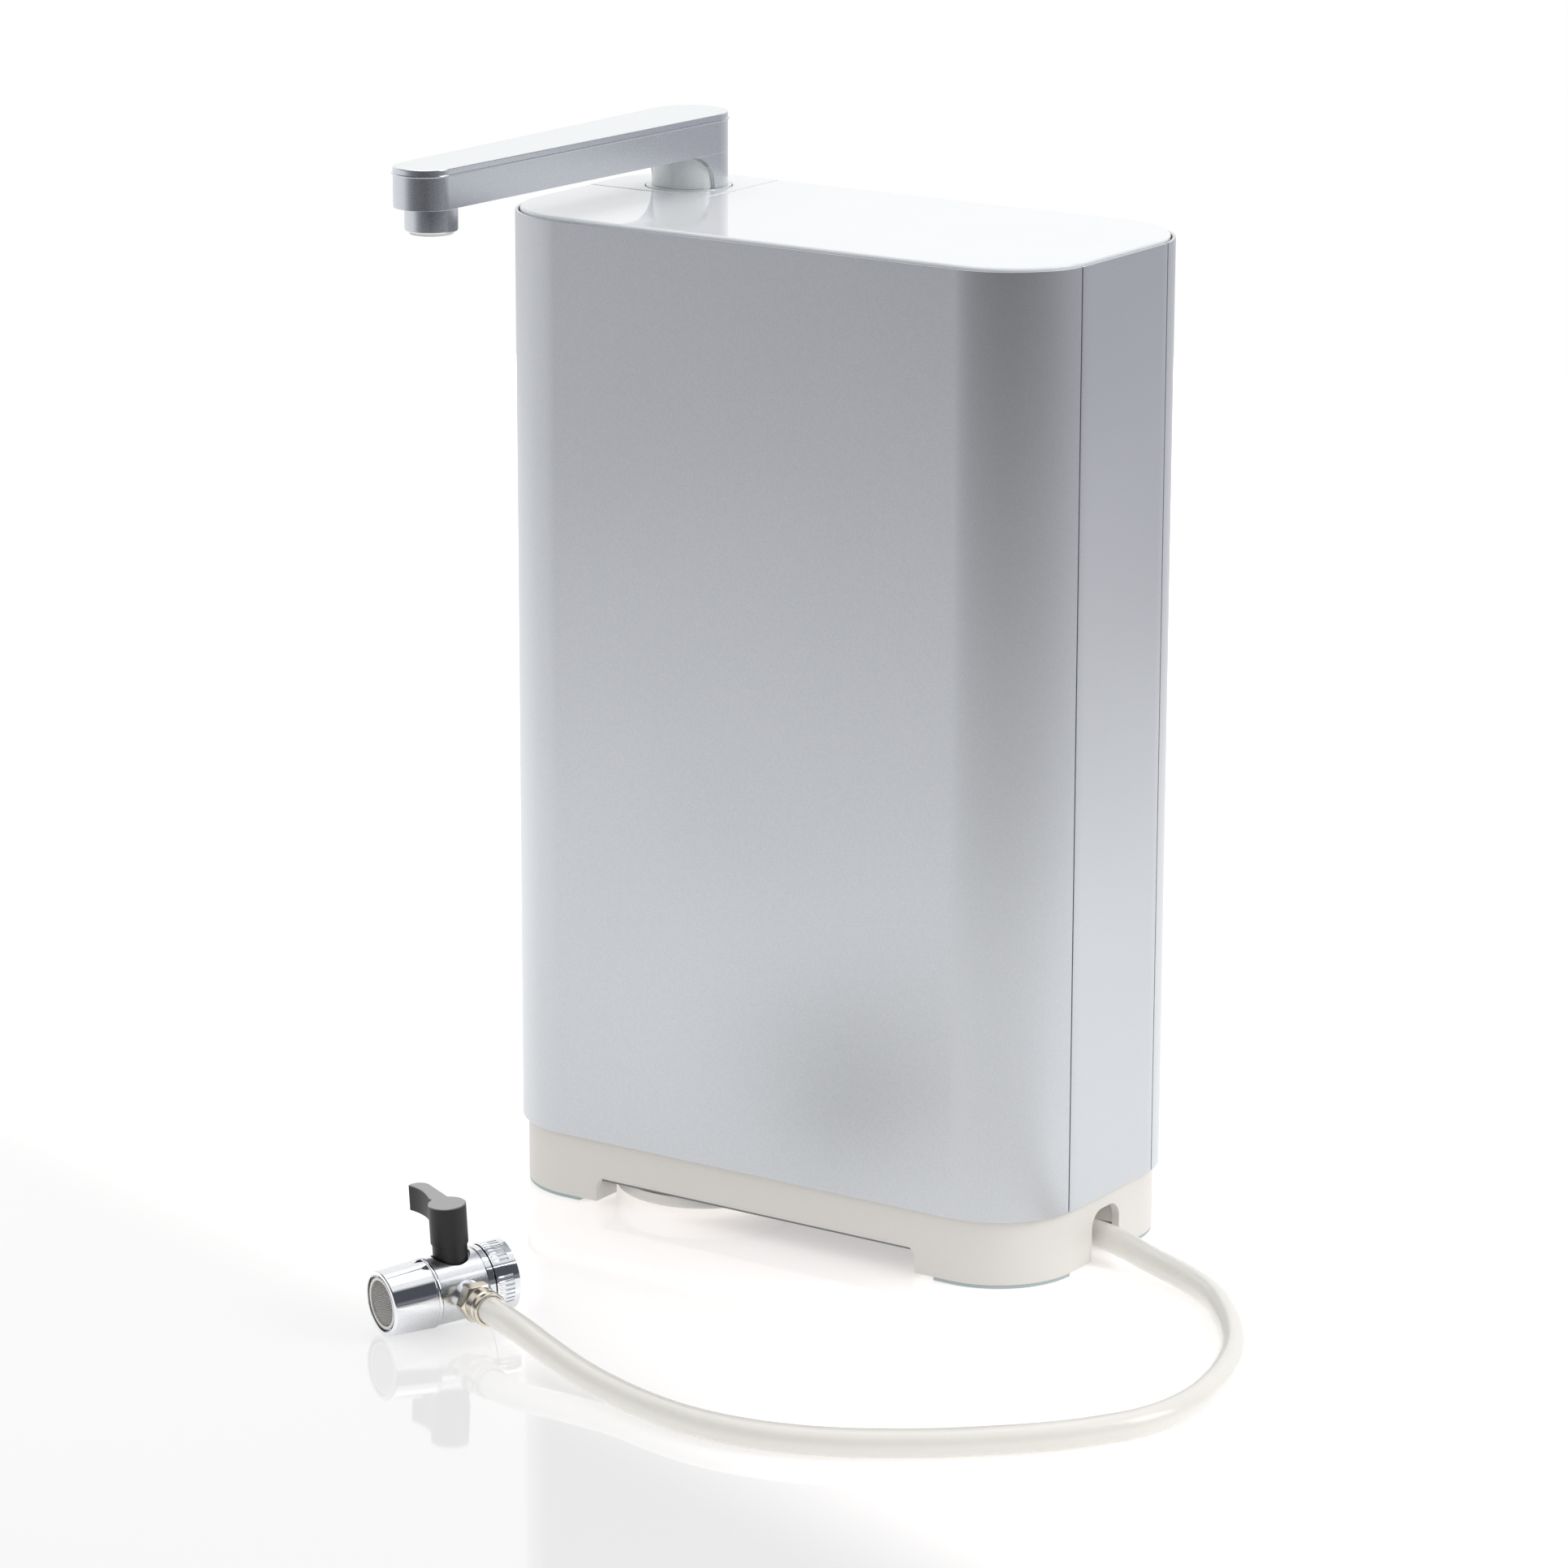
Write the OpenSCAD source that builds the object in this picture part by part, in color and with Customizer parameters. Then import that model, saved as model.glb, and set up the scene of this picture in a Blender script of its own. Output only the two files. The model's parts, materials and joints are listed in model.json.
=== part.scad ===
// Countertop water filter with a swivel spout, an inlet hose and a tap diverter valve.
// Millimetres, +Z up, the front faces -Y. The origin lies on the counter, in the middle of
// the footprint of the body and spout. The hose and valve lie in front, on the counter.

/* [Body] */
// Width of the metal body
body_w = 240; // [232:1:270]
// Depth of the metal body
body_d = 117; // [116:1:130]
// Height of the metal covers
cover_h = 346; // [330:1:400]
// Radius of the body's vertical corners
corner_r = 34; // [30:0.5:38]
// Thickness of the cover sheet
sheet_t = 1.2; // [1:0.1:1.5]
// Depth of the flat side panels, between the two seams
side_panel_d = 58; // [54:1:62]
// Width of the seams between the covers
seam_gap = 0.5; // [0.3:0.1:0.8]
// Width of the flange folded in at the foot of the front and rear covers
flange_w = 5.5; // [5:0.5:9]

/* [Base] */
// Height of the base, from the counter to the covers
base_h = 26; // [25:0.5:30]
// How far the base stands back from the covers
base_inset = 2.2; // [1.8:0.1:3]
// Wall of the base
base_wall = 3; // [2.5:0.1:3.5]
// Height of the recess under the deck
recess_h = 10; // [10:0.5:11]
// Thickness of the deck
deck_t = 3; // [2.5:0.1:3.5]
// Thickness of the bottom plate under the deck
plate_t = 1.5; // [1:0.1:1.8]
// Width of the notch between the feet
notch_w = 142; // [130:1:146]
// Height of the notch
notch_h = 11.5; // [11:0.5:12.5]
// Radius of the notch's upper corners
notch_r = 5; // [3:0.5:6]
// Depth of each foot, measured from the front or rear face
foot_d = 42; // [38:1:45]
// Thickness of the foot pads
pad_t = 1.4; // [1:0.1:2]
// How far the pads stand back from the edges of the feet
pad_inset = 8; // [6:0.5:9]
// Width of the hose arch in the right wall
arch_w = 19; // [18:0.5:21]
// Height of the hose arch above the counter
arch_h = 20; // [19:0.5:21]
// Radius of the arch's upper corners
arch_r = 6.5; // [5:0.5:8]

/* [Top] */
// Thickness of the top glass
glass_t = 4; // [3:0.5:5]
// How far the glass stands above the covers
glass_rise = 1.3; // [0.8:0.1:1.8]
// Gap between the glass and the covers
glass_gap = 0.6; // [0.4:0.1:1]
// Width of the corner tile round the spout
tile_w = 54; // [53:0.5:58]
// Depth of the corner tile
tile_d = 49.5; // [49:0.5:54]
// Height of the frame under the glass
frame_h = 17.3; // [16:0.1:20]
// Width of the ledge that carries the glass
ledge_w = 4.4; // [4:0.1:5]

/* [Spout] */
// Distance of the spout's axis from the left face
spout_side = 33; // [32:0.5:35]
// Distance of the spout's axis from the rear face
spout_back = 30; // [29:0.5:32]
// Reach of the spout, from its axis to the middle of the outlet
spout_reach = 152.56; // [140:0.01:165]
// Angle by which the spout is turned to the left of straight ahead
spout_turn = 1.6; // [0:0.1:3]
// Half the width of the spout arm at the neck
spout_r = 14.6; // [14:0.1:15.2]
// Half its width at the tip
tip_r = 11.3; // [11:0.1:12.5]
// How far the middle of the tip's round end lies beyond the middle of the outlet
tip_ahead = 3.3; // [2:0.1:5]
// Height of the neck, from the collar to the underside of the arm
neck_h = 12.5; // [11:0.1:14]
// Height of the arm, without its cap
arm_h = 11.7; // [11:0.1:13]
// Wall of the arm
arm_wall = 2; // [1.6:0.1:2.4]
// Radius of the hollow under the arm, in front of the neck
arch_under_r = 12; // [9:0.5:12.5]
// Thickness of the spout cap
spout_cap_t = 2.8; // [2:0.1:4]
// How far the lip of the cap stands out from the arm
lip = 0.5; // [0.3:0.1:0.6]
// Height of the lip
lip_h = 0.6; // [0.4:0.1:1]
// Radius of the inner column
column_r = 13.4; // [13:0.1:13.5]
// Radius of the stem that turns in the bush
stem_r = 8; // [7.5:0.1:8.5]
// Radius of the water bore in the stem
stem_bore_r = 4; // [3:0.1:4.5]
// Radius of the collar round the neck
collar_r = 16; // [15.5:0.1:17]
// Radius of the outlet
nozzle_r = 9.5; // [9:0.1:10.5]
// How far the outlet hangs below the arm
nozzle_drop = 9; // [6:0.1:10]

/* [Filters] */
// Place of the first filter across the body, from its middle
first_x = -47; // [-50:1:-44]
// Distance of the first filter's axis from the front face
first_y = 38.5; // [37.5:0.5:40]
// Radius of the first filter's housing
housing_r = 31; // [30.5:0.1:32]
// Radius of the service cap under the base
cap_r = 33; // [32:0.5:34]
// Height of the service cap above the counter
cap_rise = 3.5; // [2.5:0.1:4]
// Radius of the service cap's neck
cap_neck_r = 27; // [26:0.1:27.5]
// Radius of the filter element
element_r = 25; // [22:0.5:25.5]
// Distance of the second filter's axis from the right face
second_x = 92; // [91:1:94]
// Distance between the second and the third filter
filter_pitch = 58; // [57:0.5:59]
// Distance of the second and third filters' axes from the front face
filter_y = 34.5; // [33.5:0.5:35.5]
// Radius of the second and third filters
cartridge_r = 27; // [25:0.5:27.5]
// Length of the second and third filters
cartridge_l = 238; // [200:1:240]
// Radius of their necks
cartridge_neck_r = 12; // [10:0.5:13]

/* [Inlet hose] */
// Outer diameter of the hose
hose_d = 10; // [9.5:0.1:10.5]
// Height of the inlet's axis above the counter
inlet_z = 9.5; // [9:0.1:10]
// Distance of the inlet's riser from the right face
riser_x = 63; // [62:0.5:64]
// Outer radius of the inner water tubes
tube_r = 4.75; // [4:0.05:5]
// Bore radius of the inner water tubes
tube_bore_r = 3.2; // [2.5:0.1:3.3]

/* [Diverter valve] */
// Place of the lever's axis, to the right
valve_x = -38; // [-41:1:-36]
// Place of the lever's axis, to the back
valve_y = -150; // [-152:0.5:-149]
// Heading of the valve, from the aerator to the nut
valve_heading = 64.5; // [62:0.5:67]
// Angle by which the hose lifts the nut's end of the valve
valve_tilt = 3.2; // [2:0.1:4]
// Radius of the valve's barrel
barrel_r = 12.3; // [12:0.1:12.6]
// Length of the barrel in front of the lever's axis
barrel_front = 9.8; // [9.5:0.1:10.5]
// Length of the barrel behind the lever's axis
barrel_back = 11; // [10.5:0.1:12.5]
// Radius of the aerator at the barrel
aerator_r = 12.8; // [12.6:0.1:13]
// Radius of the aerator at its tip
aerator_tip_r = 11.9; // [11.7:0.1:12.2]
// Length of the aerator
aerator_l = 18.7; // [18:0.1:20]
// Radius of the swivel nut
nut_r = 13; // [12.8:0.1:13.5]
// Length of the swivel nut
nut_l = 9.2; // [9.2:0.1:11]
// Radius of the tap thread's bore
thread_r = 10.4; // [10.2:0.1:10.8]
// Length of the tap thread
thread_l = 4; // [3:0.1:4]
// Radius of the neck that the nut turns on
nut_neck_r = 8.5; // [8:0.1:9]
// Radius of the spool that the lever turns
spool_r = 5; // [4.5:0.1:5.2]
// Radius of the lever's grip
lever_r = 6.75; // [6.5:0.05:7]
// Reach of the lever from its axis
lever_reach = 25.5; // [24:0.5:27]
// Height of the lever's top above the valve's axis
lever_top = 31.4; // [30:0.1:34]
// Thickness of the lever's arm
lever_t = 9.6; // [8:0.1:11]
// Width of the hex nut on the hose, across its flats
hex_af = 12.9; // [12.4:0.1:14.4]
// Radius of the hose port
port_r = 5; // [4.5:0.1:5]

/* [Fits] */
// Radial clearance of a turning or sliding fit
run_gap = 0.05; // [0.02:0.01:0.1]
// Clearance between fixed pieces
fit_gap = 0.1; // [0.05:0.01:0.2]
// Clearance between pieces that pass each other
pass_gap = 0.3; // [0.2:0.05:0.4]
// Radius of the pins that hold the front cover
pin_r = 3; // [2.5:0.1:3.5]
// Length of those pins
pin_l = 8; // [7:0.1:8]
// Shank radius of the rear cover's screws
screw_r = 2; // [1.5:0.1:2.2]
// Head radius of the screws
screw_head_r = 3.6; // [3.2:0.1:4]
// Head height of the screws
screw_head_h = 1.6; // [1.2:0.1:2]

/* [Hidden] */
$fn = 96;

// Colours
silver = [0.72, 0.73, 0.75];
ivory = [0.93, 0.92, 0.88];
white = [0.95, 0.96, 0.96];
grey = [0.55, 0.56, 0.58];
black = [0.08, 0.08, 0.09];
chrome = [0.8, 0.82, 0.85];
brass = [0.8, 0.74, 0.6];
pale_blue = [0.7, 0.8, 0.9];

// How far a cut runs past the surface that it opens
over = 1;

// Heights
cover_top = base_h + cover_h;
glass_top = cover_top + glass_rise;
glass_z = glass_top - glass_t;
frame_z = glass_z - frame_h;
rack_t = 3;
rack_z = frame_z - rack_t;
deck_top = recess_h + deck_t;
plate_z = recess_h - plate_t;

// Glass and tile
glass_inset = sheet_t + glass_gap;
tile_x = tile_w - body_w/2;
tile_y = body_d/2 - tile_d;
tile_rib_w = 8;
frame_floor = 2.5;

// The body's middle, set back so that the origin is the middle of the footprint
tip_reach = spout_reach + tip_ahead;
front_reach = tip_reach*cos(spout_turn) + tip_r + lip - (body_d/2 - spout_back);
body_y = (front_reach - body_d/2 - screw_head_h)/2;

// Spout
spout_x = spout_side - body_w/2;
spout_y = body_d/2 - spout_back;
arm_taper = asin((spout_r - tip_r)/tip_reach);
collar_rise = pass_gap;
collar_z = glass_top + collar_rise;
neck_gap = 0.4;
neck_z = collar_z + neck_gap;
arm_z = neck_z + neck_h;
arm_top = arm_z + arm_h;
arm_floor = 2;
bush_wall = 4;
bush_r = stem_r + bush_wall;
socket_h = 27;
stem_depth = 11;
stem_end = rack_z - stem_depth;
stem_grip = 1;
stem_top = arm_z + arm_floor + stem_grip;
seal_t = 1.1;
seal_rise = 3;
seal_pitch = 4;
stem_seal_z = [stem_end + seal_rise, stem_end + seal_rise + seal_pitch];
waterway_r = 3.5;
waterway_bore_r = 2.2;
hub_r = 7;
nozzle_neck_r = 7.5;
nozzle_wall = 1.6;
insert_rise = 0.5;
collar_seat_w = 3;
arch_wall = 2;
arch_y = -column_r - arch_wall;

// Seams
seam_y = side_panel_d/2;

// Covers' pins
pin_x = body_w/2 - corner_r;
pin_foot_d = 10.5;
pin_foot_y = pin_foot_d - body_d/2;
pin_rise = 14;
pin_low_z = base_h + pin_rise;
pin_drop = 11;
pin_high_z = rack_z - pin_drop;
pin_post_w = 12;
pin_post_t = 4;
boss_wall = 2.5;
boss_r = pin_r + boss_wall;

// Rear cover's screws
screw_x = 80;
screw_rise = 34;
screw_low_z = base_h + screw_rise;
screw_drop = 62;
screw_high_z = cover_top - screw_drop;
screw_boss_r = 5;

// Chassis
cheek_t = 2.5;
cheek_x = body_w/2 - sheet_t - fit_gap;
cheek_d = 48;
rack_gap = 1.3;
back_inset = 14.5;
back_y = body_d/2 - back_inset;
back_side = 22;
back_w = body_w - 2*back_side;
back_t = 2.5;

// Filters
first_at = [first_x, first_y - body_d/2, 0];
second_at = [body_w/2 - second_x, filter_y - body_d/2, 0];
manifold_h = 24;
manifold_z = rack_z - manifold_h;
manifold_front = pin_foot_y + pin_post_t + pass_gap;
manifold_back = 8;
manifold_side = 13;
manifold_left = spout_x - manifold_side;
manifold_end = 22;
manifold_right = second_at.x + filter_pitch + manifold_end;
head_wall = 12;
head_r = cartridge_neck_r + head_wall;
head_h = 24;
head_z = manifold_z - head_h;
cartridge_top = head_z - pass_gap;
neck_l = 19;
neck_step = 0.5;
cartridge_foot_h = 30;
cartridge_cap_h = 24;
housing_drop = 7;
housing_top = manifold_z - housing_drop;
housing_roof = 6;
element_floor = 10;
housing_neck_r = 14;
housing_bore_r = cap_neck_r + run_gap;
cap_flange_top = plate_z - pass_gap;
cap_depth = 21;
cap_top = deck_top + cap_depth;
cap_seal_t = 1.3;
cap_seal_rise = 10;
cap_seal_z = deck_top + cap_seal_rise;
cap_slot_l = 40;
cap_slot_w = 4;
cap_slot_h = 3;

// Inlet
riser_at_x = body_w/2 - riser_x;
arch_cut_l = 40;
tunnel_w = 22;
tunnel_l = 10;
tunnel_wall = 2.5;
tunnel_drop = 1.5;
tunnel_top = base_h - tunnel_drop;
tunnel_roof = tunnel_top - tunnel_wall;
riser_r = 7;
riser_rise = 8;
riser_top = tunnel_top + riser_rise;
riser_flange_w = 3;
riser_flange_t = 2.5;
inlet_nut_h = 6;
inlet_nut_w = 4;
mouth_inset = 24;
mouth_x = body_w/2 - mouth_inset;
mouth_run = 6;
collet_w = 1.6;
collet_l = 2.5;
hose_depth = 10;
hose_r = hose_d/2;
outlet_drop = 17;
outlet_z = rack_z - outlet_drop;
port_boss_w = 2.25;
port_boss_r = tube_r + port_boss_w;
port_boss_l = 14;

// Valve, drawn along +X from the aerator to the nut, with the lever's axis at x = 0
valve_lift = 0.1;
tip_x = -barrel_front - aerator_l;
valve_z = aerator_tip_r*cos(valve_tilt) - tip_x*sin(valve_tilt) + valve_lift;
ring_l = 2.2;
ring_r = aerator_r - fit_gap;
nut_neck_l = 2.5;
neck_end = barrel_back + nut_neck_l;
nut_flange_t = 1.4;
flange_end = neck_end + nut_flange_t;
washer_t = 1.4;
nut_gap = 0.4;
nut_start = barrel_back + nut_gap;
nut_wall_end = neck_end - pass_gap;
nut_end = nut_start + nut_l;
seat_depth = 2.5;
seat_z = barrel_r - seat_depth;
spool_low = -7.5;
spool_top = lever_top - lever_t;
lever_step_z = 16.6;
lever_step = 0.5;
lever_foot_r = lever_r - lever_step;
lever_root_left = 2.7;
lever_root_right = 3.2;
lever_end_r = 4.3;
lever_end_x = -0.4;
lever_end_y = lever_reach - lever_end_r;
lever_hollow_r = 24;
lever_hollow_x = -1.3;
lever_hollow_y = 2*lever_reach/3;
screen_t = 1.2;
screen_depth = 1;
screen_r = 8.4;
screen_ledge = 0.9;
lip_r = 10.1;
lip_depth = 0.5;
spigot_r = 10;
spigot_l = 12;
nut_off = 16.4;
boss_reach = nut_off - fit_gap;
port_collar_r = 5.6;
hex_l = 10.6;
hex_flat_l = 5.2;
skirt_step = 0.15;
nut_skirt_r = hex_af/2 - skirt_step;
sleeve_l = 2.4;
sleeve_w = 1.2;
hose_seat = 7;
hose_end_off = nut_off + hose_seat;
port_gap = 0.5;
last_run = 8;
knurl_groups = 5;
knurl_per_group = 7;
knurl_step = 7.5;
knurl_r = 0.45;
knurl_margin = 0.9;
knurl_end = 2.3;

// Route of the hose on the counter, from the inlet to the valve
hose_run = [[120, 38, 8.8], [130, 35.5, 7.8], [142, 31.5, 6.6], [160, 25, 5.4], [177, 14.5, 5.2],
  [193, -2, 5.2], [205, -18, 5.2], [213, -32, 5.2], [219, -47, 5.2], [224, -66, 5.2],
  [226, -87, 5.2], [222.5, -107, 5.2], [213.5, -124, 5.2], [202, -139, 5.2], [189, -152, 5.2],
  [176, -163.5, 5.2], [162, -173.5, 5.2], [149, -181.5, 5.2], [134, -188, 5.2],
  [117, -192.5, 5.2], [98, -194, 5.2], [77, -191, 5.2], [60, -186.5, 5.4], [43.6, -182.3, 6.8],
  [24.9, -176.4, 9.4], [8, -170.6, 12.2]];
port_dir = [sin(valve_heading), -cos(valve_heading), 0];
valve_at = [valve_x, valve_y, valve_z];
hose_route = concat([[mouth_x - hose_depth, body_y, inlet_z], [mouth_x + mouth_run, body_y, inlet_z]],
  hose_run,
  [valve_at + (nut_off + hex_l + last_run)*port_dir, valve_at + hose_end_off*port_dir]);
hose_sides = 10;

// Sweep of the hose: a ring square to the route at each of its points
function unit(v) = v/norm(v);
function heading(p, i) = unit(p[min(i + 1, len(p) - 1)] - p[max(i - 1, 0)]);
function side_of(t) = unit(cross([0, 0, 1], t));
function ring_at(p, i, r, n) = let (t = heading(p, i), s = side_of(t), u = cross(t, s))
  [for (k = [0:n - 1]) p[i] + r*(cos(360*k/n)*s + sin(360*k/n)*u)];
function ring_quad(i, k, n) = let (a = i*n + k, b = i*n + (k + 1) % n) [a, b, b + n, a + n];

module sweep(route, r, n) {
  last = len(route) - 1;
  points = [for (i = [0:last]) each ring_at(route, i, r, n)];
  start_face = [for (k = [0:n - 1]) k];
  end_face = [for (k = [n - 1:-1:0]) last*n + k];
  walls = [for (i = [0:last - 1], k = [0:n - 1]) ring_quad(i, k, n)];
  triangles = [for (q = walls) each [[q[0], q[2], q[1]], [q[0], q[3], q[2]]]];
  polyhedron(points, concat([start_face, end_face], triangles));
}

// Shared shapes
module in_body() translate([0, body_y, 0]) children();

module at_spout() in_body() translate([spout_x, spout_y, 0]) children();

module on_spout() at_spout() rotate([0, 0, -spout_turn]) children();

module at_valve() translate(valve_at) rotate([0, -valve_tilt, valve_heading]) children();

// A cylinder along +X, +Y or -Y that starts at the origin
module rod_x(r, l) rotate([0, 90, 0]) cylinder(r = r, h = l);

module rod_y(r, l) rotate([-90, 0, 0]) cylinder(r = r, h = l);

module rod_front(r, l) rotate([90, 0, 0]) cylinder(r = r, h = l);

// Outline of the body, drawn in by an inset
module plan(inset) {
  w = body_w - 2*inset;
  d = body_d - 2*inset;
  r = corner_r - inset;
  square([w - 2*r, d], center = true);
  square([w, d - 2*r], center = true);
  for (x = [-1, 1], y = [-1, 1]) translate([x*(w/2 - r), y*(d/2 - r)]) circle(r);
}

module plan_ring(outer, inner) difference() {
  plan(outer);
  plan(inner);
}

module slab(z, h) translate([0, 0, z]) linear_extrude(h) children();

// A box given by its low and high corners
module span(low, high) translate(low) cube(high - low);

// Outline of the spout arm, drawn in by an inset: two circles and their common tangents
module arm_plan(inset) {
  neck_circle = spout_r - inset;
  tip_circle = tip_r - inset;
  out = [cos(arm_taper), -sin(arm_taper)];
  out_left = [-out.x, out.y];
  tip_at = [0, -tip_reach];
  circle(neck_circle);
  translate(tip_at) circle(tip_circle);
  polygon([neck_circle*out_left, tip_at + tip_circle*out_left, tip_at + tip_circle*out, neck_circle*out]);
}

// A ring of round section
module seal(r, t, z) translate([0, 0, z]) rotate_extrude() translate([r - t, 0]) circle(t, $fn = 32);

module at_cover_pins(z_list) for (x = [-1, 1], z = z_list) translate([x*pin_x, 0, z]) children();

module at_cover_screws() for (x = [-1, 1], z = [screw_low_z, screw_high_z])
  translate([x*screw_x, 0, z]) children();

// Base
module at_feet() for (x = [0, 1], y = [0, 1]) mirror([x, 0, 0]) mirror([0, y, 0]) children();

module foot_plan(outer, edge) intersection() {
  plan(base_inset + outer);
  translate([notch_w/2 + edge, body_d/2 - foot_d + edge]) square([body_w, body_d]);
}

module foot_pads() color(grey) in_body() at_feet() slab(0, pad_t) foot_plan(base_wall, pad_inset);

module notch_cut() {
  span([-notch_w/2, -body_d, -over], [notch_w/2, body_d, notch_h - notch_r]);
  span([notch_r - notch_w/2, -body_d, -over], [notch_w/2 - notch_r, body_d, notch_h]);
  for (x = [-1, 1]) translate([x*(notch_w/2 - notch_r), -body_d, notch_h - notch_r])
    rod_y(notch_r, 2*body_d);
}

module arch_cut() translate([(body_w - arch_cut_l)/2, 0, 0]) {
  span([0, -arch_w/2, -over], [arch_cut_l, arch_w/2, arch_h - arch_r]);
  span([0, arch_r - arch_w/2, -over], [arch_cut_l, arch_w/2 - arch_r, arch_h]);
  for (y = [-1, 1]) translate([0, y*(arch_w/2 - arch_r), arch_h - arch_r]) rod_x(arch_r, arch_cut_l);
}

module pin_post(z_low, z_high) translate([-pin_post_w/2, pin_foot_y, z_low])
  cube([pin_post_w, pin_post_t, z_high - z_low]);

module cover_pin() translate([0, pin_foot_y + over, 0]) rod_front(pin_r, pin_l + over);

module base_tray() color(ivory) in_body() difference() {
  union() {
    difference() {
      slab(pad_t, base_h - pad_t) plan_ring(base_inset, base_inset + base_wall);
      notch_cut();
    }
    slab(recess_h, deck_t) plan(base_inset + base_wall/2);
    at_feet() slab(pad_t, recess_h) foot_plan(0, 0);
    span([riser_at_x - tunnel_l - tunnel_wall, -tunnel_w/2 - tunnel_wall, recess_h],
      [body_w/2 - base_inset - base_wall/2, tunnel_w/2 + tunnel_wall, tunnel_top]);
    for (x = [-1, 1]) translate([x*pin_x, 0, 0]) pin_post(deck_top - over, pin_low_z + boss_r);
    at_cover_pins([pin_low_z]) cover_pin();
  }
  span([riser_at_x - tunnel_l, -tunnel_w/2, 0],
    [body_w/2 - base_inset - base_wall, tunnel_w/2, tunnel_roof]);
  arch_cut();
  translate([riser_at_x, 0, 0]) cylinder(r = riser_r + pass_gap, h = base_h);
  translate(first_at) cylinder(r = cap_neck_r + pass_gap, h = base_h);
  translate(first_at) cylinder(r = cap_r + pass_gap, h = plate_z);
}

// The room that a foot takes out of the bottom plate
module foot_room() translate([notch_w/2 - pass_gap, body_d/2 - foot_d - pass_gap])
  square([body_w, body_d]);

module bottom_plate() color(grey) in_body() slab(plate_z, plate_t) difference() {
  plan(base_inset + base_wall + pass_gap);
  at_feet() foot_room();
  translate([riser_at_x - tunnel_l, -tunnel_w/2]) square([body_w, tunnel_w]);
  translate(first_at) circle(cap_neck_r + pass_gap);
}

// Service cap under the first filter
module service_cap() color(ivory) in_body() translate(first_at) difference() {
  union() {
    slab(cap_rise, cap_flange_top - cap_rise) circle(cap_r);
    slab(cap_rise, cap_top - cap_rise) circle(cap_neck_r);
  }
  slab(cap_rise - over, cap_slot_h + over) square([cap_slot_l, cap_slot_w], center = true);
  slab(cap_seal_z - cap_seal_t - fit_gap, 2*(cap_seal_t + fit_gap)) difference() {
    circle(cap_neck_r + over);
    circle(cap_neck_r - 2*cap_seal_t - fit_gap);
  }
}

module cap_seal() color(black) in_body() translate(first_at)
  seal(cap_neck_r, cap_seal_t, cap_seal_z);

// Chassis inside the covers
module chassis() color(grey) in_body() difference() {
  union() {
    slab(rack_z, rack_t) plan(sheet_t + rack_gap);
    for (x = [-1, 1]) translate([x*(cheek_x - cheek_t/2), 0, 0])
      span([-cheek_t/2, -cheek_d/2, base_h], [cheek_t/2, cheek_d/2, rack_z + rack_t]);
    span([-back_w/2, back_y, deck_top], [back_w/2, back_y + back_t, rack_z + over]);
    at_cover_screws() translate([0, back_y, 0]) rod_y(screw_boss_r, body_d/2 - sheet_t - back_y);
    for (x = [-1, 1]) translate([x*pin_x, 0, 0]) pin_post(pin_high_z - boss_r, rack_z + over);
    at_cover_pins([pin_high_z]) cover_pin();
  }
  translate([spout_x, spout_y, 0]) cylinder(r = bush_r + fit_gap, h = cover_top);
  at_cover_screws() translate([0, back_y - over, 0]) rod_y(screw_r + run_gap, body_d);
}

// Covers
module cover_sheet() slab(base_h, cover_h) plan_ring(0, sheet_t);

module cover_flange() slab(base_h + pass_gap, sheet_t) plan_ring(sheet_t/2, sheet_t + flange_w);

module behind_seam() span([-body_w, seam_y + seam_gap/2, 0], [body_w, body_d, cover_top + over]);

module cover_half() intersection() {
  union() {
    cover_sheet();
    cover_flange();
  }
  behind_seam();
}

module front_cover() color(silver) in_body() difference() {
  union() {
    mirror([0, 1, 0]) cover_half();
    at_cover_pins([pin_low_z, pin_high_z]) translate([0, sheet_t/2 - body_d/2, 0])
      rod_y(boss_r, pin_foot_y - pass_gap - sheet_t/2 + body_d/2);
  }
  at_cover_pins([pin_low_z, pin_high_z]) translate([0, pin_foot_y, 0])
    rod_front(pin_r + run_gap, pin_l + pass_gap);
  translate(first_at) cylinder(r = housing_r + pass_gap, h = pin_low_z - boss_r);
}

module rear_cover() color(silver) in_body() difference() {
  cover_half();
  at_cover_screws() rod_y(screw_r + run_gap, body_d);
}

module side_panel() in_body() intersection() {
  cover_sheet();
  span([0, seam_gap/2 - seam_y, 0], [body_w, seam_y - seam_gap/2, cover_top + over]);
}

module side_panel_left() color(silver) mirror([1, 0, 0]) side_panel();

module side_panel_right() color(silver) side_panel();

module cover_screws() color(chrome) in_body() at_cover_screws() {
  translate([0, back_y + back_t, 0]) rod_y(screw_r, body_d/2 - back_y - back_t + screw_head_h);
  translate([0, body_d/2, 0]) rod_y(screw_head_r, screw_head_h);
}

// Top
module tile_corner(edge) translate([-body_w, tile_y + edge]) square([body_w + tile_x - edge, body_d]);

module top_frame() color(grey) in_body() difference() {
  union() {
    slab(frame_z, frame_floor) plan(glass_inset);
    slab(frame_z, frame_h) plan_ring(glass_inset, glass_inset + ledge_w);
    slab(frame_z, frame_h) intersection() {
      plan(glass_inset + ledge_w/2);
      difference() {
        tile_corner(-tile_rib_w/2);
        tile_corner(tile_rib_w/2);
      }
    }
    translate([spout_x, spout_y, 0]) slab(frame_z, frame_h) circle(collar_r + collar_seat_w);
  }
  translate([spout_x, spout_y, 0]) cylinder(r = bush_r + fit_gap, h = cover_top);
}

module top_glass() color(white) in_body() slab(glass_z, glass_t) difference() {
  plan(glass_inset);
  tile_corner(-seam_gap/2);
}

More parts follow.
